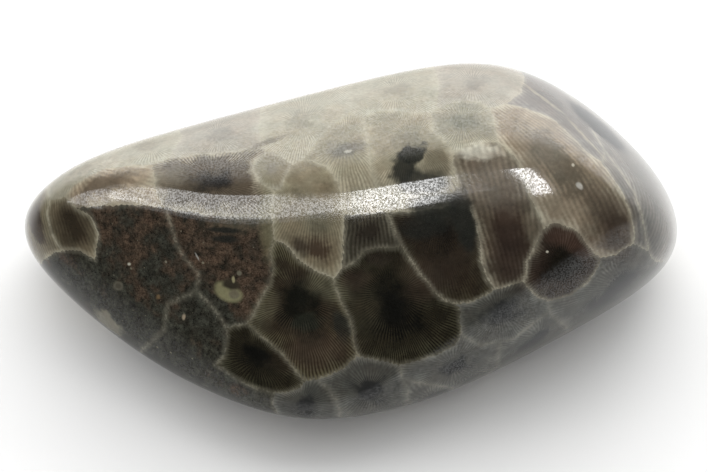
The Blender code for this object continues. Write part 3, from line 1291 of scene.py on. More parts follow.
@dataclass(frozen=True)
class Specks:
    """The group that scatters round specks of about one size.

    Attributes:
        least_size: the smallest speck's radius, as a share of the plain one.
        firm: how far out a speck is whole, as a share of its own radius.
    """

    least_size: float = 0.4
    firm: float = 0.6

    def build(self) -> bpy.types.NodeTree:
        """Makes the group.

        Returns:
            Its tree.
        """
        numbers = {name: Kind.NUMBER for name in ("Spacing", "Radius", "Rarity")}
        group = NodeGroup(
            "specks",
            {"Point": Kind.VECTOR, **numbers},
            {"Mask": Kind.NUMBER, "Chance": Kind.NUMBER},
        )
        bench = group.bench
        given = group.given
        scale = bench.maths("DIVIDE", 1.0, given["Spacing"])
        cells = bench.add("ShaderNodeTexVoronoi", feature="F1")
        bench.feed(cells.inputs["Vector"], given["Point"])
        bench.feed(cells.inputs["Scale"], scale)
        far = bench.maths("MULTIPLY", cells.outputs["Distance"], given["Spacing"])
        chance, size = bench.split(cells.outputs["Color"])[:2]
        grown = bench.maths("ADD", size, self.least_size)
        radius = bench.maths("MULTIPLY", given["Radius"], grown)
        firm = bench.maths("MULTIPLY", radius, self.firm)
        dot = bench.ease(far, firm, radius, 1.0, 0.0)
        present = bench.maths("GREATER_THAN", chance, given["Rarity"])
        bench.feed(group.result["Mask"], bench.maths("MULTIPLY", dot, present))
        bench.feed(group.result["Chance"], size)
        return group.tree


# ---------------------------------------------------------------- stains


@dataclass(frozen=True)
class Stain:
    """A patch of another tone on the stone.

    Attributes:
        across: pixel column of its middle.
        down: pixel row of its middle.
        wide: half its width in pixels.
        tall: half its height in pixels.
        turn: degrees that it is turned in the view, counter-clockwise.
        colour: linear colour.
        strength: how much it covers, 0 to 1.
        softness: how soft its edge is, as a share of its size.
        ragged: True where its edge is torn.
        covers_walls: True where it hides the coral's walls.
    """

    across: float
    down: float
    wide: float
    tall: float
    turn: float
    colour: Colour
    strength: float = 1.0
    softness: float = 0.4
    ragged: bool = True
    covers_walls: bool = False


@dataclass(frozen=True)
class Blot(Stain):
    """A stain that hides the coral's walls."""

    covers_walls: bool = True


@dataclass(frozen=True)
class Mark(Stain):
    """A stain with a neat edge."""

    ragged: bool = False


BLACK: Colour = (0.0162, 0.0169, 0.0142)
BROWN_BLACK: Colour = (0.03, 0.022, 0.016)
RED_BROWN: Colour = (0.065, 0.038, 0.028)
OLIVE_GREEN: Colour = (0.1, 0.095, 0.055)
PALE_VEIN: Colour = (0.36, 0.33, 0.25)
CHALK: Colour = (0.5, 0.48, 0.4)

STAINS = {
    "ink_head": Blot(413, 153, 14, 8, 12, BLACK, 0.95, 0.3),
    "ink_body": Blot(404, 169, 13, 15, 0, BLACK, 0.95, 0.3),
    "ink_foot": Blot(424, 182, 24, 11, 5, (0.02, 0.021, 0.018), 0.9, 0.4),
    "ink_bridge": Blot(440, 205, 30, 13, 10, (0.016, 0.017, 0.014), 0.92, 0.4),
    "ink_right": Blot(464, 222, 11, 30, 12, BLACK, 0.95, 0.3),
    "ink_pool": Stain(428, 226, 26, 12, 12, BLACK, 0.8, 0.4),
    "w_brown": Stain(71, 227, 27, 26, 10, (0.024, 0.019, 0.012), 0.8, 0.6),
    "u_left": Stain(168, 176, 14, 12, 0, (0.2, 0.18, 0.14), 0.5, 0.7),
    "r_grey": Stain(650, 236, 14, 28, 20, (0.05, 0.05, 0.045), 0.7, 0.6),
    "k_olive": Stain(438, 161, 12, 14, 0, (0.085, 0.074, 0.05), 0.7, 0.5),
    "k_brown": Stain(440, 275, 30, 14, 35, (0.03, 0.022, 0.016), 0.6, 0.7),
    "b_grey": Stain(345, 149, 17, 8, 12, (0.1, 0.093, 0.08), 0.7, 0.5),
    "d_dark": Stain(301, 247, 9, 9, 0, BROWN_BLACK, 0.85, 0.6),
    "d_top": Stain(305, 176, 18, 10, 0, (0.17, 0.145, 0.1), 0.6, 0.6),
    "d_middle": Mark(318, 223, 20, 11, 0, (0.15, 0.14, 0.095), 0.65, 0.7),
    "f_red": Stain(352, 281, 14, 10, 0, (0.036, 0.025, 0.018), 0.7, 0.7),
    "f_olive": Stain(362, 310, 16, 24, 0, (0.034, 0.03, 0.019), 0.6, 0.8),
    "f_upper": Stain(377, 260, 12, 8, 0, (0.022, 0.018, 0.013), 0.8, 0.5),
    "f_brown": Stain(420, 275, 14, 20, 35, (0.04, 0.03, 0.021), 0.6, 0.8),
    "g_right": Stain(342, 328, 8, 15, 20, BLACK, 0.8, 0.4),
    "g_middle": Stain(308, 322, 15, 8, 0, (0.02, 0.022, 0.016), 0.6, 0.4),
    "g_green": Stain(328, 287, 20, 11, -22, (0.09, 0.085, 0.055), 0.7, 0.7),
    "g_left": Stain(264, 312, 10, 20, -20, (0.085, 0.078, 0.05), 0.55, 0.8),
    "g_brown": Stain(318, 353, 34, 16, 8, (0.052, 0.038, 0.026), 0.6, 0.7),
    "d_wall": Mark(268, 220, 8, 34, 3, (0.17, 0.16, 0.095), 0.55, 0.6),
    "t_green": Mark(238, 222, 26, 9, 0, (0.075, 0.07, 0.048), 0.5, 0.7),
    "q_red": Stain(572, 240, 30, 11, -20, RED_BROWN, 0.5, 0.5),
    "p_olive": Stain(540, 149, 24, 15, -40, (0.17, 0.152, 0.122), 0.75, 0.7),
    "p_dark": Stain(602, 212, 22, 34, 22, (0.05, 0.038, 0.028), 0.7, 0.7),
    "p_pale": Stain(574, 140, 20, 9, -40, (0.12, 0.11, 0.1), 0.5, 0.7),
    # Tan patch of cell p, lightened as painted light where the second_spot lamp, which only shines
    # in the polish, would light it.
    "p_tan_painted_light": Stain(562, 208, 24, 10, -15, (0.2, 0.17, 0.125), 0.7, 0.7),
    "p_edge": Stain(618, 234, 19, 30, 15, (0.034, 0.025, 0.019), 0.85, 0.6),
    # Pale tan top of cell l, paled further as a painted highlight where the ridge's highlight runs
    # over it.
    "l_top_painted_highlight": Stain(479, 151, 22, 8, 0, (0.52, 0.5, 0.42), 0.8, 0.5),
    # Paler middle of cell l, lightened as painted light from the second_spot lamp, which only
    # shines in the polish.
    "l_middle_painted_light": Stain(497, 180, 32, 24, 0, (0.19, 0.165, 0.13), 0.7, 0.7),
    "l_low": Stain(517, 258, 28, 30, 0, (0.026, 0.018, 0.014), 0.8, 0.6),
    "l_right": Stain(533, 232, 7, 22, 10, (0.13, 0.115, 0.085), 0.55, 0.6),
    "sliver": Blot(598, 126, 38, 10, -42, (0.004, 0.0045, 0.0045), 1.0, 0.25, ragged=False),
    "o_line": Mark(543, 98, 22, 1.4, -38, PALE_VEIN, 0.5, 0.6),
    "o_second": Mark(585, 137, 24, 1.4, -50, PALE_VEIN, 0.5, 0.6),
    "a_vein": Mark(266, 143, 18, 2.5, 22, (0.09, 0.072, 0.048), 0.7, 0.6),
    "bar_top": Mark(224, 230, 16, 2.6, -4, BLACK, 0.95, 0.4),
    "bar_low": Mark(226, 239, 13, 3.6, -4, BLACK, 0.9, 0.4),
    "kidney": Mark(228, 292, 14, 9, -28, (0.19, 0.185, 0.105), 0.95, 0.25),
    "kidney_gap": Mark(231, 284, 8.5, 5, -10, (0.03, 0.026, 0.018), 1.0, 0.35),
    "kidney_disc": Mark(234, 294, 5, 4.6, 0, (0.12, 0.105, 0.075), 0.8, 0.3),
    "kidney_speck": Mark(234, 279, 1.6, 3.2, 0, (0.26, 0.24, 0.14), 0.9, 0.4),
    "ring": Mark(118, 286, 5.5, 5, 0, (0.11, 0.105, 0.08), 0.8, 0.25),
    "ring_middle": Mark(118, 286, 3.2, 3, 0, (0.06, 0.055, 0.042), 0.9, 0.4),
    "edge_patch": Blot(109, 323, 17, 7, -38, (0.17, 0.16, 0.12), 0.85, 0.4),
    "q_fleck": Mark(547, 252, 1.2, 1.2, 0, CHALK, 0.9, 0.4),
    "p_fleck": Mark(580, 186, 4, 2.4, -50, (0.45, 0.44, 0.4), 0.8, 0.4),
    "p_second_fleck": Mark(573, 165, 1.5, 1.5, 0, CHALK, 0.8, 0.4),
    "b_fleck": Mark(348, 151, 4, 1.2, 15, (0.5, 0.48, 0.42), 0.6, 0.5),
    "t_scratch": Mark(197, 257, 4, 0.7, -60, (0.3, 0.3, 0.28), 0.8, 0.5),
    "mud_fleck": Mark(129, 264, 1.5, 1.5, 0, (0.4, 0.4, 0.33), 0.9, 0.5),
    "mud_second_fleck": Mark(184, 317, 2, 2.6, 0, (0.3, 0.25, 0.18), 0.9, 0.5),
    "mud_orange_fleck": Mark(158, 297, 2, 2, 0, (0.16, 0.11, 0.06), 0.9, 0.5),
}


# ---------------------------------------------------------------- the material


@dataclass
class StainPlacer:
    """Lays the stains over the coral.

    Attributes:
        bench: the material's bench.
        form: the stone.
        viewpoint: where the stains' pixels are seen from.
        group: the group that draws one stain.
        ragged: the place, shifted unevenly for torn edges.
        steady: the place, hardly shifted.
        least_depth: the smallest half size, in pixels, that a stain's depth is taken from.
        deepening: how much deeper a stain is than its half width or height.
    """

    bench: Bench
    form: StoneForm
    viewpoint: Viewpoint
    group: bpy.types.NodeTree
    ragged: bpy.types.NodeSocket
    steady: bpy.types.NodeSocket
    least_depth: float = 20.0
    deepening: float = 2.0

    def cover(self, spot: Stain) -> bpy.types.NodeSocket:
        """How much a stain covers.

        Args:
            spot: the stain.

        Returns:
            The mask.
        """
        middle = self.form.meet(*self.viewpoint.ray(spot.across, spot.down))
        wide, tall = turned(self.viewpoint.right(), self.viewpoint.up(), spot.turn)
        columns = Matrix((wide, tall, self.viewpoint.back())).transposed()
        pixel = self.viewpoint.distance / self.viewpoint.focal
        depth = max(spot.wide, spot.tall, self.least_depth) * self.deepening
        node = self.bench.use(
            self.group,
            Point=self.ragged if spot.ragged else self.steady,
            Middle=tuple(middle),
            Turn=tuple(columns.to_euler()),
            Size=(spot.wide * pixel, spot.tall * pixel, depth * pixel),
            Softness=spot.softness,
        )
        return self.bench.maths("MULTIPLY", node.outputs[0], spot.strength)

    def lay(
        self, colour: bpy.types.NodeSocket, wall: bpy.types.NodeSocket
    ) -> tuple[bpy.types.NodeSocket, bpy.types.NodeSocket]:
        """Lays every stain in turn.

        Args:
            colour: the coral's colour.
            wall: how far its walls show.

        Returns:
            The colour and the wall's mask under the stains.
        """
        for spot in STAINS.values():
            cover = self.cover(spot)
            colour = self.bench.mix(cover, colour, (*spot.colour, 1.0))
            if spot.covers_walls:
                bare = self.bench.maths("SUBTRACT", 1.0, cover)
                wall = self.bench.maths("MULTIPLY", wall, bare)
        return colour, wall


@dataclass
class Ground:
    """What every part of the stone's material reads.

    Attributes:
        bench: the material's bench.
        point: the place in mm about the stone's middle.
        cup: the nearest corallite's distance and traits by name.
        gap: how much farther the next corallite is than the nearest, in mm.
        mottle: slow unevenness.
        fleck: fine unevenness.
    """

    bench: Bench
    point: bpy.types.NodeSocket
    cup: dict[str, bpy.types.NodeSocket]
    gap: bpy.types.NodeSocket
    mottle: bpy.types.NodeSocket
    fleck: bpy.types.NodeSocket


@dataclass(frozen=True)
class CupColours:
    """The corallites' own colours, from the core through the flesh to the rim.

    Attributes:
        slow_shake: how far the mottling shifts them out, where 1 is from core to wall.
        fine_shake: how far the flecks do.
        keenness: how strongly the septa show, over the mottling.
        teeth: how far the septa notch one colour into the next.
        to_flesh: how far past its reach the core gives way to the flesh.
        to_rim: how far out the flesh gives way to the rim.
        septum_depth: how much the septa change the tone, from the core out.
        mottle_depth: how much the mottling does, over the core's reach.
        fleck_depth: how much the flecks do.
    """

    slow_shake: float = 0.6
    fine_shake: float = 0.15
    keenness: Span = Span(0.35, 0.6, 0.35, 1.2)
    teeth: float = 0.1
    to_flesh: Span = Span(-0.16, 0.2)
    to_rim: Span = Span(0.7, 1.08, 0.0, 0.95)
    septum_depth: Span = Span(0.1, 0.5, 0.0, 0.26)
    mottle_depth: Span = Span(0.3, 0.4, 0.4, 0.8)
    fleck_depth: float = 0.5

    def ramp(self, ground: Ground, tones: list[Shade]) -> bpy.types.NodeOutputs:
        """Picks the nearest corallite's tone from a stepped ramp.

        Args:
            ground: what the material reads.
            tones: a colour and one more number for each filling.

        Returns:
            The colour and the number.
        """
        node = ground.bench.add("ShaderNodeValToRGB")
        ramp = node.color_ramp
        ramp.interpolation = "CONSTANT"
        while len(ramp.elements) < len(tones):
            ramp.elements.new(1.0)
        for count, tone in enumerate(tones):
            ramp.elements[count].position = count / len(tones)
            ramp.elements[count].color = tone
        ground.bench.feed(node.inputs[0], ground.cup["Fill"])
        return node.outputs

    def build(self, ground: Ground, share: bpy.types.NodeSocket) -> tuple:
        """Colours the corallites.

        Args:
            ground: what the material reads.
            share: how far out from the core to the wall a place is.

        Returns:
            The colour, how pale the wall is, and the tone to multiply the colour by.
        """
        bench = ground.bench
        tones = [fill.value for fill in Fill]
        core, reach = self.ramp(ground, [(*tone.core, tone.reach) for tone in tones])
        flesh, comb = self.ramp(ground, [(*tone.flesh, tone.comb) for tone in tones])
        rim, wall_tone = self.ramp(ground, [(*tone.rim, tone.wall) for tone in tones])
        shaken = bench.shake(share, ground.mottle, self.slow_shake)
        shaken = bench.shake(shaken, ground.fleck, self.fine_shake)
        keen = bench.ease(ground.mottle, *self.keenness)
        septum = bench.maths("MULTIPLY", ground.cup["Septum"], bench.maths("MULTIPLY", comb, keen))
        toothed = bench.maths("MULTIPLY_ADD", septum, self.teeth, shaken)
        to_flesh = bench.ease(bench.maths("SUBTRACT", toothed, reach), *self.to_flesh)
        to_rim = bench.ease(toothed, *self.to_rim)
        colour = bench.mix(to_flesh, core, flesh)
        colour = bench.mix(to_rim, colour, rim)
        lines = bench.maths("MULTIPLY", septum, bench.ease(share, *self.septum_depth))
        tone = bench.maths("ADD", 1.0, lines)
        depth = bench.ease(reach, *self.mottle_depth)
        tone = bench.shake(tone, ground.mottle, depth)
        tone = bench.shake(tone, ground.fleck, self.fleck_depth)
        return colour, wall_tone, tone


@dataclass(frozen=True)
class Mud:
    """The mottled mud, with specks, in the corallites that hold it.

    Attributes:
        cloud: the noise between grey mud and red, per mm.
        patch: the noise between dark mud and coloured, per mm.
        grit: the finest noise, per mm.
        reddening: how much redder the mud is for each mm up.
        to_red: where it turns red, over the clouds.
        to_grey: where dark mud turns grey, over the patches.
        to_dark: where red mud turns dark, over the patches.
        fleck_depth: how much the flecks change its tone.
        grit_depth: how much the grit does.
        dark: the darkest mud.
        grey: its grey-green patches.
        red: its red-brown patches.
        speck_pale: the palest specks in it.
        speck_brown: the brownest ones.
        speck_sizes: spacing and radius in mm, rarity and strength of each size of speck.
    """

    cloud: Noise = Noise(0.22, 5.0)
    patch: Noise = Noise(0.8, 5.0, 5.0)
    grit: Noise = Noise(5.5, 3.0)
    reddening: float = 0.018
    to_red: Span = Span(0.48, 0.66)
    to_grey: Span = Span(0.3, 0.7)
    to_dark: Span = Span(0.3, 0.75)
    fleck_depth: float = 1.8
    grit_depth: float = 2.6
    dark: Shade = (0.017, 0.016, 0.012, 1.0)
    grey: Shade = (0.041, 0.042, 0.033, 1.0)
    red: Shade = (0.07, 0.048, 0.033, 1.0)
    speck_pale: Shade = (0.24, 0.23, 0.17, 1.0)
    speck_brown: Shade = (0.1, 0.07, 0.045, 1.0)
    speck_sizes: tuple[tuple[float, float, float, float], ...] = (
        (0.8, 0.07, 0.45, 0.6),
        (1.7, 0.17, 0.5, 0.6),
        (3.4, 0.34, 0.62, 0.45),
    )

    def build(self, ground: Ground, colour: bpy.types.NodeSocket) -> bpy.types.NodeSocket:
        """Fills the corallites that hold mud.

        Args:
            ground: what the material reads.
            colour: the coral's colour.

        Returns:
            The colour with the mud.
        """
        bench = ground.bench
        high = bench.split(ground.point)[2]
        cloud = bench.noise(ground.point, *self.cloud)
        patch = bench.noise(ground.point, *self.patch)
        grit = bench.noise(ground.point, *self.grit)
        redness = bench.maths("MULTIPLY_ADD", high, self.reddening, cloud)
        redness = bench.ease(redness, *self.to_red)
        mud = bench.mix(bench.ease(patch, *self.to_grey), self.dark, self.grey)
        rust = bench.mix(bench.ease(patch, *self.to_dark), self.red, self.dark)
        mud = bench.mix(redness, mud, rust)
        tone = bench.shake(1.0, ground.fleck, self.fleck_depth)
        tone = bench.shake(tone, grit, self.grit_depth)
        mud = bench.scaled(mud, tone)
        specks = Specks().build()
        for spacing, radius, rarity, strength in self.speck_sizes:
            spots = bench.use(
                specks, Point=ground.point, Spacing=spacing, Radius=radius, Rarity=rarity
            ).outputs
            pale = bench.mix(spots["Chance"], self.speck_brown, self.speck_pale)
            cover = bench.maths("MULTIPLY", spots["Mask"], strength)
            mud = bench.mix(cover, mud, pale)
        half_step = 0.5 / len(Fill)
        muddy = bench.maths("COMPARE", ground.cup["Fill"], Fill.MUD.index(), half_step)
        return bench.mix(muddy, colour, mud)


@dataclass(frozen=True)
class CupWalls:
    """The pale walls between corallites: a thin line with a soft glow beside it.

    Attributes:
        colour: of the walls.
        width: of the line, in mm.
        swelling: how much wider and narrower it gets, over the mottling.
        teeth: how far the septa notch it, in mm.
        fading: how strongly it shows, over the mottling and the flecks.
        glow: how strongly the coral pales beside it, from the wall in, in mm.
    """

    colour: Shade = (0.38, 0.355, 0.27, 1.0)
    width: float = 0.6
    swelling: Span = Span(0.3, 0.7, 0.5, 1.5)
    teeth: float = 0.2
    fading: Span = Span(0.38, 0.6, 0.2, 0.85)
    glow: Span = Span(0.1, 1.5, 0.3, 0.0)

    def build(self, ground: Ground, wall_tone: bpy.types.NodeSocket) -> bpy.types.NodeSocket:
        """Draws the walls.

        Args:
            ground: what the material reads.
            wall_tone: how pale the nearest corallite's wall is.

        Returns:
            The walls' mask.
        """
        bench = ground.bench
        width = bench.maths("MULTIPLY", bench.ease(ground.mottle, *self.swelling), self.width)
        toothed = bench.maths("MULTIPLY_ADD", ground.cup["Septum"], self.teeth, ground.gap)
        line = bench.ease(toothed, 0.0, width, 1.0, 0.0)
        uneven = bench.maths("MULTIPLY", ground.mottle, 0.5)
        uneven = bench.maths("MULTIPLY_ADD", ground.fleck, 0.5, uneven)
        line = bench.maths("MULTIPLY", line, bench.ease(uneven, *self.fading))
        glow = bench.ease(ground.gap, *self.glow)
        return bench.maths("MULTIPLY", bench.maths("MAXIMUM", line, glow), wall_tone)


@dataclass(frozen=True)
class Polish:
    """The polish: a thin film that fine pits break where it faces the eye, and slight waves.

    Attributes:
        roughness: of the stone under the film, over the flecks.
        shine: how strongly the stone under the film shines, 0.5 being plain.
        film_roughness: of the film.
        pits: how much of the film is left, over the grain.
        aslant: where the film is even instead, over how far the stone turns away.
        even_film: how much of it there is then.
        limb: what is left of it where the stone turns away wholly.
        grain: pits and grains per m.
        grain_depth: of them, in m.
        waves: slow unevenness, per m.
        wave_depth: of it, in m.
    """

    roughness: Span = Span(0.3, 0.7, 0.09, 0.14)
    shine: float = 0.1
    film_roughness: float = 0.07
    pits: Span = Span(0.38, 0.62, 1.0, 0.08)
    aslant: Span = Span(0.36, 0.6)
    even_film: float = 0.55
    limb: Span = Span(0.5, 0.9, 1.0, 0.12)
    grain: Noise = Noise(4600.0, 2.0)
    grain_depth: float = 5.5e-6
    waves: Noise = Noise(220.0, 1.0)
    wave_depth: float = 8e-6

    def build(
        self,
        ground: Ground,
        coordinates: bpy.types.NodeSocket,
        shader: bpy.types.Node,
    ) -> None:
        """Polishes the stone.

        Args:
            ground: what the material reads.
            coordinates: the Object coordinates in m.
            shader: the stone's shader.
        """
        bench = ground.bench
        grain = bench.noise(coordinates, *self.grain)
        facing = bench.add("ShaderNodeLayerWeight").outputs["Facing"]
        pitted = bench.ease(grain, *self.pits)
        missing = bench.maths("SUBTRACT", self.even_film, pitted)
        film = bench.maths("MULTIPLY_ADD", missing, bench.ease(facing, *self.aslant), pitted)
        film = bench.maths("MULTIPLY", film, bench.ease(facing, *self.limb))
        bench.feed(shader.inputs["Coat Weight"], film)
        bench.feed(shader.inputs["Coat Roughness"], self.film_roughness)
        bench.feed(shader.inputs["Specular IOR Level"], self.shine)
        bench.feed(shader.inputs["Roughness"], bench.ease(ground.fleck, *self.roughness))
        waves = self.bump(bench, coordinates, self.waves, self.wave_depth)
        relief = self.bump(bench, coordinates, self.grain, self.grain_depth)
        bench.feed(relief.inputs["Normal"], waves.outputs[0])
        bench.feed(shader.inputs["Normal"], relief.outputs[0])

    def bump(
        self, bench: Bench, coordinates: bpy.types.NodeSocket, noise: Noise, depth: float
    ) -> bpy.types.Node:
        """Makes slight unevenness.

        Args:
            bench: the material's bench.
            coordinates: the Object coordinates in m.
            noise: its height.
            depth: how deep it is, in m.

        Returns:
            The Bump node.
        """
        node = bench.add("ShaderNodeBump")
        bench.feed(node.inputs["Height"], bench.noise(coordinates, *noise))
        bench.feed(node.inputs["Distance"], depth)
        return node


@dataclass(frozen=True)
class PolishedCoral:
    """The finish of the polished stone.

    Attributes:
        colours: of the corallites.
        mud: in the filled ones.
        walls: between them.
        polish: over the stone.
        mottle: slow unevenness, per mm.
        fleck: fine unevenness, per mm.
        fray: the unevenness of the stains' edges, per mm.
        torn_edge: how far it shifts a ragged edge, in mm.
        neat_edge: how far it shifts a neat one, in mm.
        least_cup: what is added to a corallite's size, in mm, so that none is nothing.
        blush: the noise between warm patches and cool ones, per mm.
        to_cool: where warm turns cool, over that noise.
        warm: what the warmest patches are multiplied by.
        cool: what the coolest ones are.
    """

    colours: CupColours = CupColours()
    mud: Mud = Mud()
    walls: CupWalls = CupWalls()
    polish: Polish = Polish()
    mottle: Noise = Noise(0.45, 4.0)
    fleck: Noise = Noise(2.2, 3.0)
    fray: Noise = Noise(0.6, 3.0)
    torn_edge: float = 2.4
    neat_edge: float = 0.5
    least_cup: float = 0.01
    blush: Noise = Noise(0.4, 3.0, 9.0)
    to_cool: Span = Span(0.25, 0.75)
    warm: Shade = (1.05, 1.0, 0.96, 1.0)
    cool: Shade = (0.98, 1.0, 0.99, 1.0)

    def build(self, form: StoneForm, viewpoint: Viewpoint) -> bpy.types.Material:
        """Makes the stone's material.

        Args:
            form: the stone, on which the stains are set.
            viewpoint: where the stains' pixels are seen from.

        Returns:
            The material.
        """
        material = bpy.data.materials.new("polished_coral_stone")
        material.use_nodes = True
        material.node_tree.nodes.clear()
        bench = Bench(material.node_tree)
        shader = bench.add("ShaderNodeBsdfPrincipled")
        output = bench.add("ShaderNodeOutputMaterial")
        bench.feed(output.inputs["Surface"], shader.outputs[0])
        coordinates = bench.add("ShaderNodeTexCoord").outputs["Object"]
        point = bench.vectors(
            "MULTIPLY_ADD",
            coordinates,
            (1.0 / MM, 1.0 / MM, 1.0 / MM),
            (-form.box_shift[0], -form.box_shift[1], -form.middle_height),
        )
        cup = self.nearest(bench, point)
        gap = bench.maths("SUBTRACT", cup["Next"], cup["Near"])
        size = bench.maths("ADD", cup["Core"], self.least_cup)
        size = bench.maths("MULTIPLY_ADD", gap, 0.5, size)
        share = bench.maths("DIVIDE", cup["Core"], size)
        mottle = bench.noise(point, *self.mottle)
        fleck = bench.noise(point, *self.fleck)
        ground = Ground(bench, point, cup, gap, mottle, fleck)
        colour, wall_tone, tone = self.colours.build(ground, share)
        colour = self.mud.build(ground, colour)
        wall = self.walls.build(ground, wall_tone)
        fray = bench.noise(point, *self.fray, output="Color")
        ragged = self.shifted(bench, point, fray, self.torn_edge)
        steady = self.shifted(bench, point, fray, self.neat_edge)
        placer = StainPlacer(bench, form, viewpoint, SoftOval().build(), ragged, steady)
        colour, wall = placer.lay(colour, wall)
        blush = bench.noise(point, *self.blush)
        tint = bench.mix(bench.ease(blush, *self.to_cool), self.warm, self.cool)
        colour = bench.vectors("MULTIPLY", bench.scaled(colour, tone), tint)
        colour = bench.mix(wall, colour, self.walls.colour)
        bench.feed(shader.inputs["Base Color"], colour)
        self.polish.build(ground, coordinates, shader)
        return material

    def nearest(self, bench: Bench, point: bpy.types.NodeSocket) -> bpy.types.NodeOutputs:
        """The nearest corallite at a point.

        Args:
            bench: the material's bench.
            point: the place in mm about the stone's middle.

        Returns:
            Its distance and traits by name.
        """
        layers = {}
        for rank in RANKS:
            for part in ("place", "trait"):
                node = bench.add("ShaderNodeAttribute", attribute_name=f"cup_{rank}_{part}")
                layers[f"{part.capitalize()}_{rank}"] = node.outputs["Vector"]
        group = NearestCup(CupReach().build()).build()
        return bench.use(group, Point=point, **layers).outputs

    def shifted(
        self, bench: Bench, point: bpy.types.NodeSocket, noise: bpy.types.NodeSocket, size: float
    ) -> bpy.types.NodeSocket:
        """Shifts a place unevenly.

        Args:
            bench: the material's bench.
            point: the place in mm about the stone's middle.
            noise: a noise of three numbers.
            size: how far a whole step of noise shifts the place, in mm.

        Returns:
            The shifted place.
        """
        moved = bench.vectors("MULTIPLY_ADD", noise, (size, size, size), point)
        return bench.vectors("SUBTRACT", moved, (size / 2, size / 2, size / 2))


# ---------------------------------------------------------------- the stone


@dataclass
class CoralStone:
    """The tumbled stone.

    Attributes:
        form: its worn faces.
        colony: the coral on it.
        viewpoint: where its pattern's pixels are seen from.
        rows: faces along each side of the blank.
        blank: half the blank's length, depth and height in mm.
    """

    form: StoneForm
    colony: Colony
    viewpoint: Viewpoint
    rows: int = 128
    blank: tuple[float, float, float] = (43.0, 26.0, 19.0)

    def make_blank(self) -> bpy.types.Mesh:
        """Cuts a cube into even rows of faces.

        Returns:
            The blank's mesh, two units on a side.
        """
        cutter = bmesh.new()
        bmesh.ops.create_cube(cutter, size=2.0)
        bmesh.ops.subdivide_edges(
            cutter, edges=cutter.edges[:], cuts=self.rows - 1, use_grid_fill=True
        )
        return meshed("coral_stone", cutter)

    def grind(self, mesh: bpy.types.Mesh) -> np.ndarray:
        """Moves the blank's vertices out to the worn form.

        Args:
            mesh: the blank.

        Returns:
            The vertices about the stone's middle, in mm, a row each.
        """
        flat = np.zeros(len(mesh.vertices) * 3)
        mesh.vertices.foreach_get("co", flat)
        ways = np.tan(flat.reshape(-1, 3) * (math.pi / 4.0)) * np.array(self.blank)
        ways /= np.linalg.norm(ways, axis=1, keepdims=True)
        points = ways / self.form.fullness(ways)[:, None]
        points[:, 2] = np.maximum(points[:, 2], -self.form.middle_height)
        placed = points + np.array((*self.form.box_shift, self.form.middle_height))
        mesh.vertices.foreach_set("co", (placed * MM).ravel())
        mesh.update()
        return points

    def build(self) -> bpy.types.Object:
        """Makes the stone and dresses it.

        Returns:
            The stone's object.
        """
        mesh = self.make_blank()
        points = self.grind(mesh)
        mesh.polygons.foreach_set("use_smooth", [True] * len(mesh.polygons))
        self.colony.lay_shown()
        self.colony.lay_hidden()
        self.colony.mark(mesh, points)
        LOG.info("coral_stone: %d faces, %d corallites", len(mesh.polygons), len(self.colony.sites))
        mesh.materials.append(PolishedCoral().build(self.form, self.viewpoint))
        return placed("coral_stone", mesh)


# ---------------------------------------------------------------- the studio


class Use(Enum):
    """What a lamp is for."""

    LIGHT = "light"
    SHINE = "shine"


@dataclass(frozen=True)
class Softbox:
    """A soft rectangular lamp.

    Attributes:
        name: of the lamp.
        azimuth: degrees round from the stone's right, counter-clockwise seen from above.
        elevation: degrees above the table.
        distance: from the stone, in m.
        width: in m.
        height: in m.
        radiance: how bright its face is.
        use: what it does, light the stone and the table or shine in the polish.
        roll: degrees that it is turned about its own aim.
        facing: azimuth and elevation that its back points to, where it doesn't face the stone.
    """

    name: str
    azimuth: float
    elevation: float
    distance: float
    width: float
    height: float
    radiance: float
    use: Use
    roll: float = 0.0
    facing: Optional[tuple[float, float]] = None

    def place(self) -> None:
        """Hangs the lamp."""
        data = bpy.data.lights.new(self.name, "AREA")
        data.shape = "RECTANGLE"
        data.size = self.width
        data.size_y = self.height
        data.energy = self.radiance * math.pi * self.width * self.height
        lamp = placed(self.name, data)
        lamp.visible_diffuse = self.use is Use.LIGHT
        lamp.visible_glossy = self.use is Use.SHINE
        way = heading(self.azimuth, self.elevation)
        back = heading(*self.facing) if self.facing else way
        lamp.location = way * self.distance
        rolled = Quaternion((0.0, 0.0, 1.0), math.radians(self.roll))
        lamp.rotation_euler = (back.to_track_quat("Z", "Y") @ rolled).to_euler()


SOFTBOXES = (
    Softbox("sky_fill", 80, 60, 1.5, 1.8, 1.6, 1.6, Use.LIGHT),
    Softbox("right_key", 50, 34, 1.6, 1.2, 1.0, 1.2, Use.LIGHT),
    Softbox("ridge_panel", -168.3, 65.2, 1.56, 1.1, 2.1, 5.6, Use.SHINE, 28.3, (-131.0, 6.2)),
    Softbox("ridge_halo", -168.3, 65.2, 1.62, 1.36, 2.35, 1.4, Use.SHINE, 28.3, (-131.0, 6.2)),
    Softbox("tip_panel", -166.6, 18.9, 1.75, 0.48, 1.13, 4.5, Use.SHINE, 5.8, (-152.7, -25.3)),
    Softbox("hot_spot", -88.6, 50.3, 1.03, 0.055, 0.6, 17.0, Use.SHINE, 4.6, (-85.7, 67.6)),
    Softbox("second_spot", -71.0, 47.7, 1.24, 0.116, 0.72, 24.0, Use.SHINE, 0.0, (-72.7, 42.8)),
)


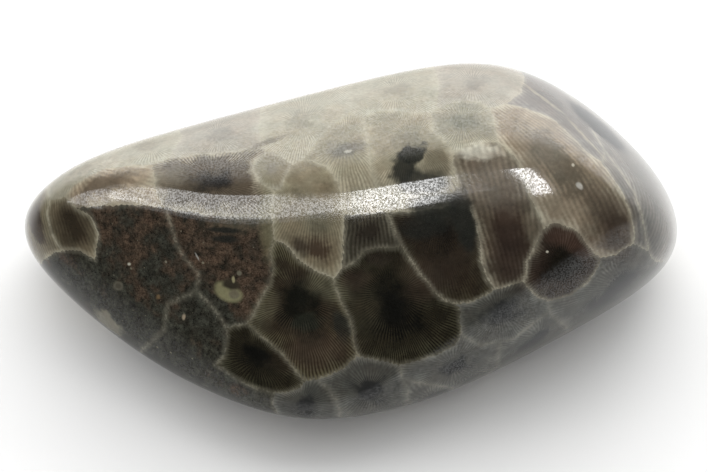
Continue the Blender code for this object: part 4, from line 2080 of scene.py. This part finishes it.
@dataclass(frozen=True)
class Table:
    """The round pale table top, which fades out around the stone.

    Attributes:
        middle: of the top.
        radius: of it.
        fade: how far out it begins to fade away.
        rim: how far out it is gone, as a share of its radius.
        segments: sides of its round edge.
        colour: of it.
        shade: what its darkest clouds are multiplied by.
        clouds: its slight unevenness, per m.
        roughness: of its surface.
    """

    middle: tuple[float, float, float] = (0.05, 0.04, 0.0)
    radius: float = 0.17
    fade: float = 0.08
    rim: float = 0.97
    segments: int = 96
    colour: Colour = (0.8, 0.8, 0.795)
    shade: float = 0.985
    clouds: Noise = Noise(6.0, 3.0)
    roughness: float = 0.7

    def lay(self) -> None:
        """Lays the table top under the stone."""
        cutter = bmesh.new()
        bmesh.ops.create_circle(
            cutter, cap_ends=True, cap_tris=False, segments=self.segments, radius=self.radius
        )
        mesh = meshed("table_top", cutter)
        mesh.materials.append(self.finish())
        table = placed("table_top", mesh)
        table.location = self.middle

    def finish(self) -> bpy.types.Material:
        """Makes the table's material.

        Returns:
            The material.
        """
        material = bpy.data.materials.new("pale_table")
        material.use_nodes = True
        bench = Bench(material.node_tree)
        shader = material.node_tree.nodes["Principled BSDF"]
        point = bench.add("ShaderNodeTexCoord").outputs["Object"]
        clouds = bench.noise(point, *self.clouds)
        darker = tuple(self.shade * part for part in self.colour)
        tone = bench.mix(clouds, (*self.colour, 1.0), (*darker, 1.0))
        bench.feed(shader.inputs["Base Color"], tone)
        far = bench.vectors("LENGTH", point)
        shown = bench.ease(far, self.fade, self.rim * self.radius, 1.0, 0.0)
        bench.feed(shader.inputs["Alpha"], shown)
        bench.feed(shader.inputs["Roughness"], self.roughness)
        return material


@dataclass(frozen=True)
class Studio:
    """A pale table under soft lamps, with a glow behind it.

    Attributes:
        table: under the stone.
        daylight: how brightly the room lights the stone and the table.
        backdrop: how bright the room looks.
        glow_azimuth: degrees round from the stone's right to the glow that the polish shows.
        glow_rise: how bright the glow is, over the height of the way that it comes from.
        glow_top: where the glow ends, over that height.
        glow_side: where it begins, over how nearly that way is the glow's own.
        room: how bright the rest of the room is in the polish.
    """

    table: Table = Table()
    daylight: float = 0.8
    backdrop: float = 1.05
    glow_azimuth: float = 80.0
    glow_rise: Span = Span(-0.25, 0.45, 1.2, 3.1)
    glow_top: Span = Span(0.5, 0.88, 1.0, 0.0)
    glow_side: Span = Span(0.1, 0.55)
    room: float = 0.04

    def build(self) -> None:
        """Sets the table, the lamps and the room."""
        bpy.context.scene.view_settings.view_transform = "Standard"
        self.table.lay()
        for softbox in SOFTBOXES:
            softbox.place()
        self.light_room()

    def light_room(self) -> None:
        """Makes the room pale to the eye, and dim in the polish but for a soft glow behind."""
        world = bpy.data.worlds.new("studio_room")
        bpy.context.scene.world = world
        world.use_nodes = True
        world.node_tree.nodes.clear()
        bench = Bench(world.node_tree)
        path = bench.add("ShaderNodeLightPath").outputs
        way = bench.add("ShaderNodeTexCoord").outputs["Generated"]
        turn = math.radians(self.glow_azimuth)
        level = bench.vectors("DOT_PRODUCT", way, (math.cos(turn), math.sin(turn), 0.0))
        high = bench.split(way)[2]
        glow = bench.ease(high, *self.glow_rise)
        glow = bench.maths("MULTIPLY", glow, bench.ease(high, *self.glow_top))
        glow = bench.maths("MULTIPLY", glow, bench.ease(level, *self.glow_side))
        glow = bench.maths("ADD", glow, self.room)
        lit = bench.pick(path["Is Diffuse Ray"], glow, self.daylight)
        background = bench.add("ShaderNodeBackground")
        bench.feed(background.inputs["Color"], (1.0, 1.0, 1.0, 1.0))
        seen = bench.pick(path["Is Camera Ray"], lit, self.backdrop)
        bench.feed(background.inputs["Strength"], seen)
        output = bench.add("ShaderNodeOutputWorld")
        bench.feed(output.inputs["Surface"], background.outputs[0])


def main() -> None:
    """Builds the stone and the studio, and reports each piece."""
    logging.basicConfig(level=logging.INFO, format="%(name)s: %(message)s")
    form = StoneForm()
    viewpoint = Viewpoint()
    stone = CoralStone(form, Colony(form, viewpoint), viewpoint).build()
    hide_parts("coral_head")
    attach(stone, "root")
    Studio().build()
    viewpoint.place(form)
    LOG.info("studio: table, %d softboxes and camera", len(SOFTBOXES))


if __name__ == "__main__":
    main()
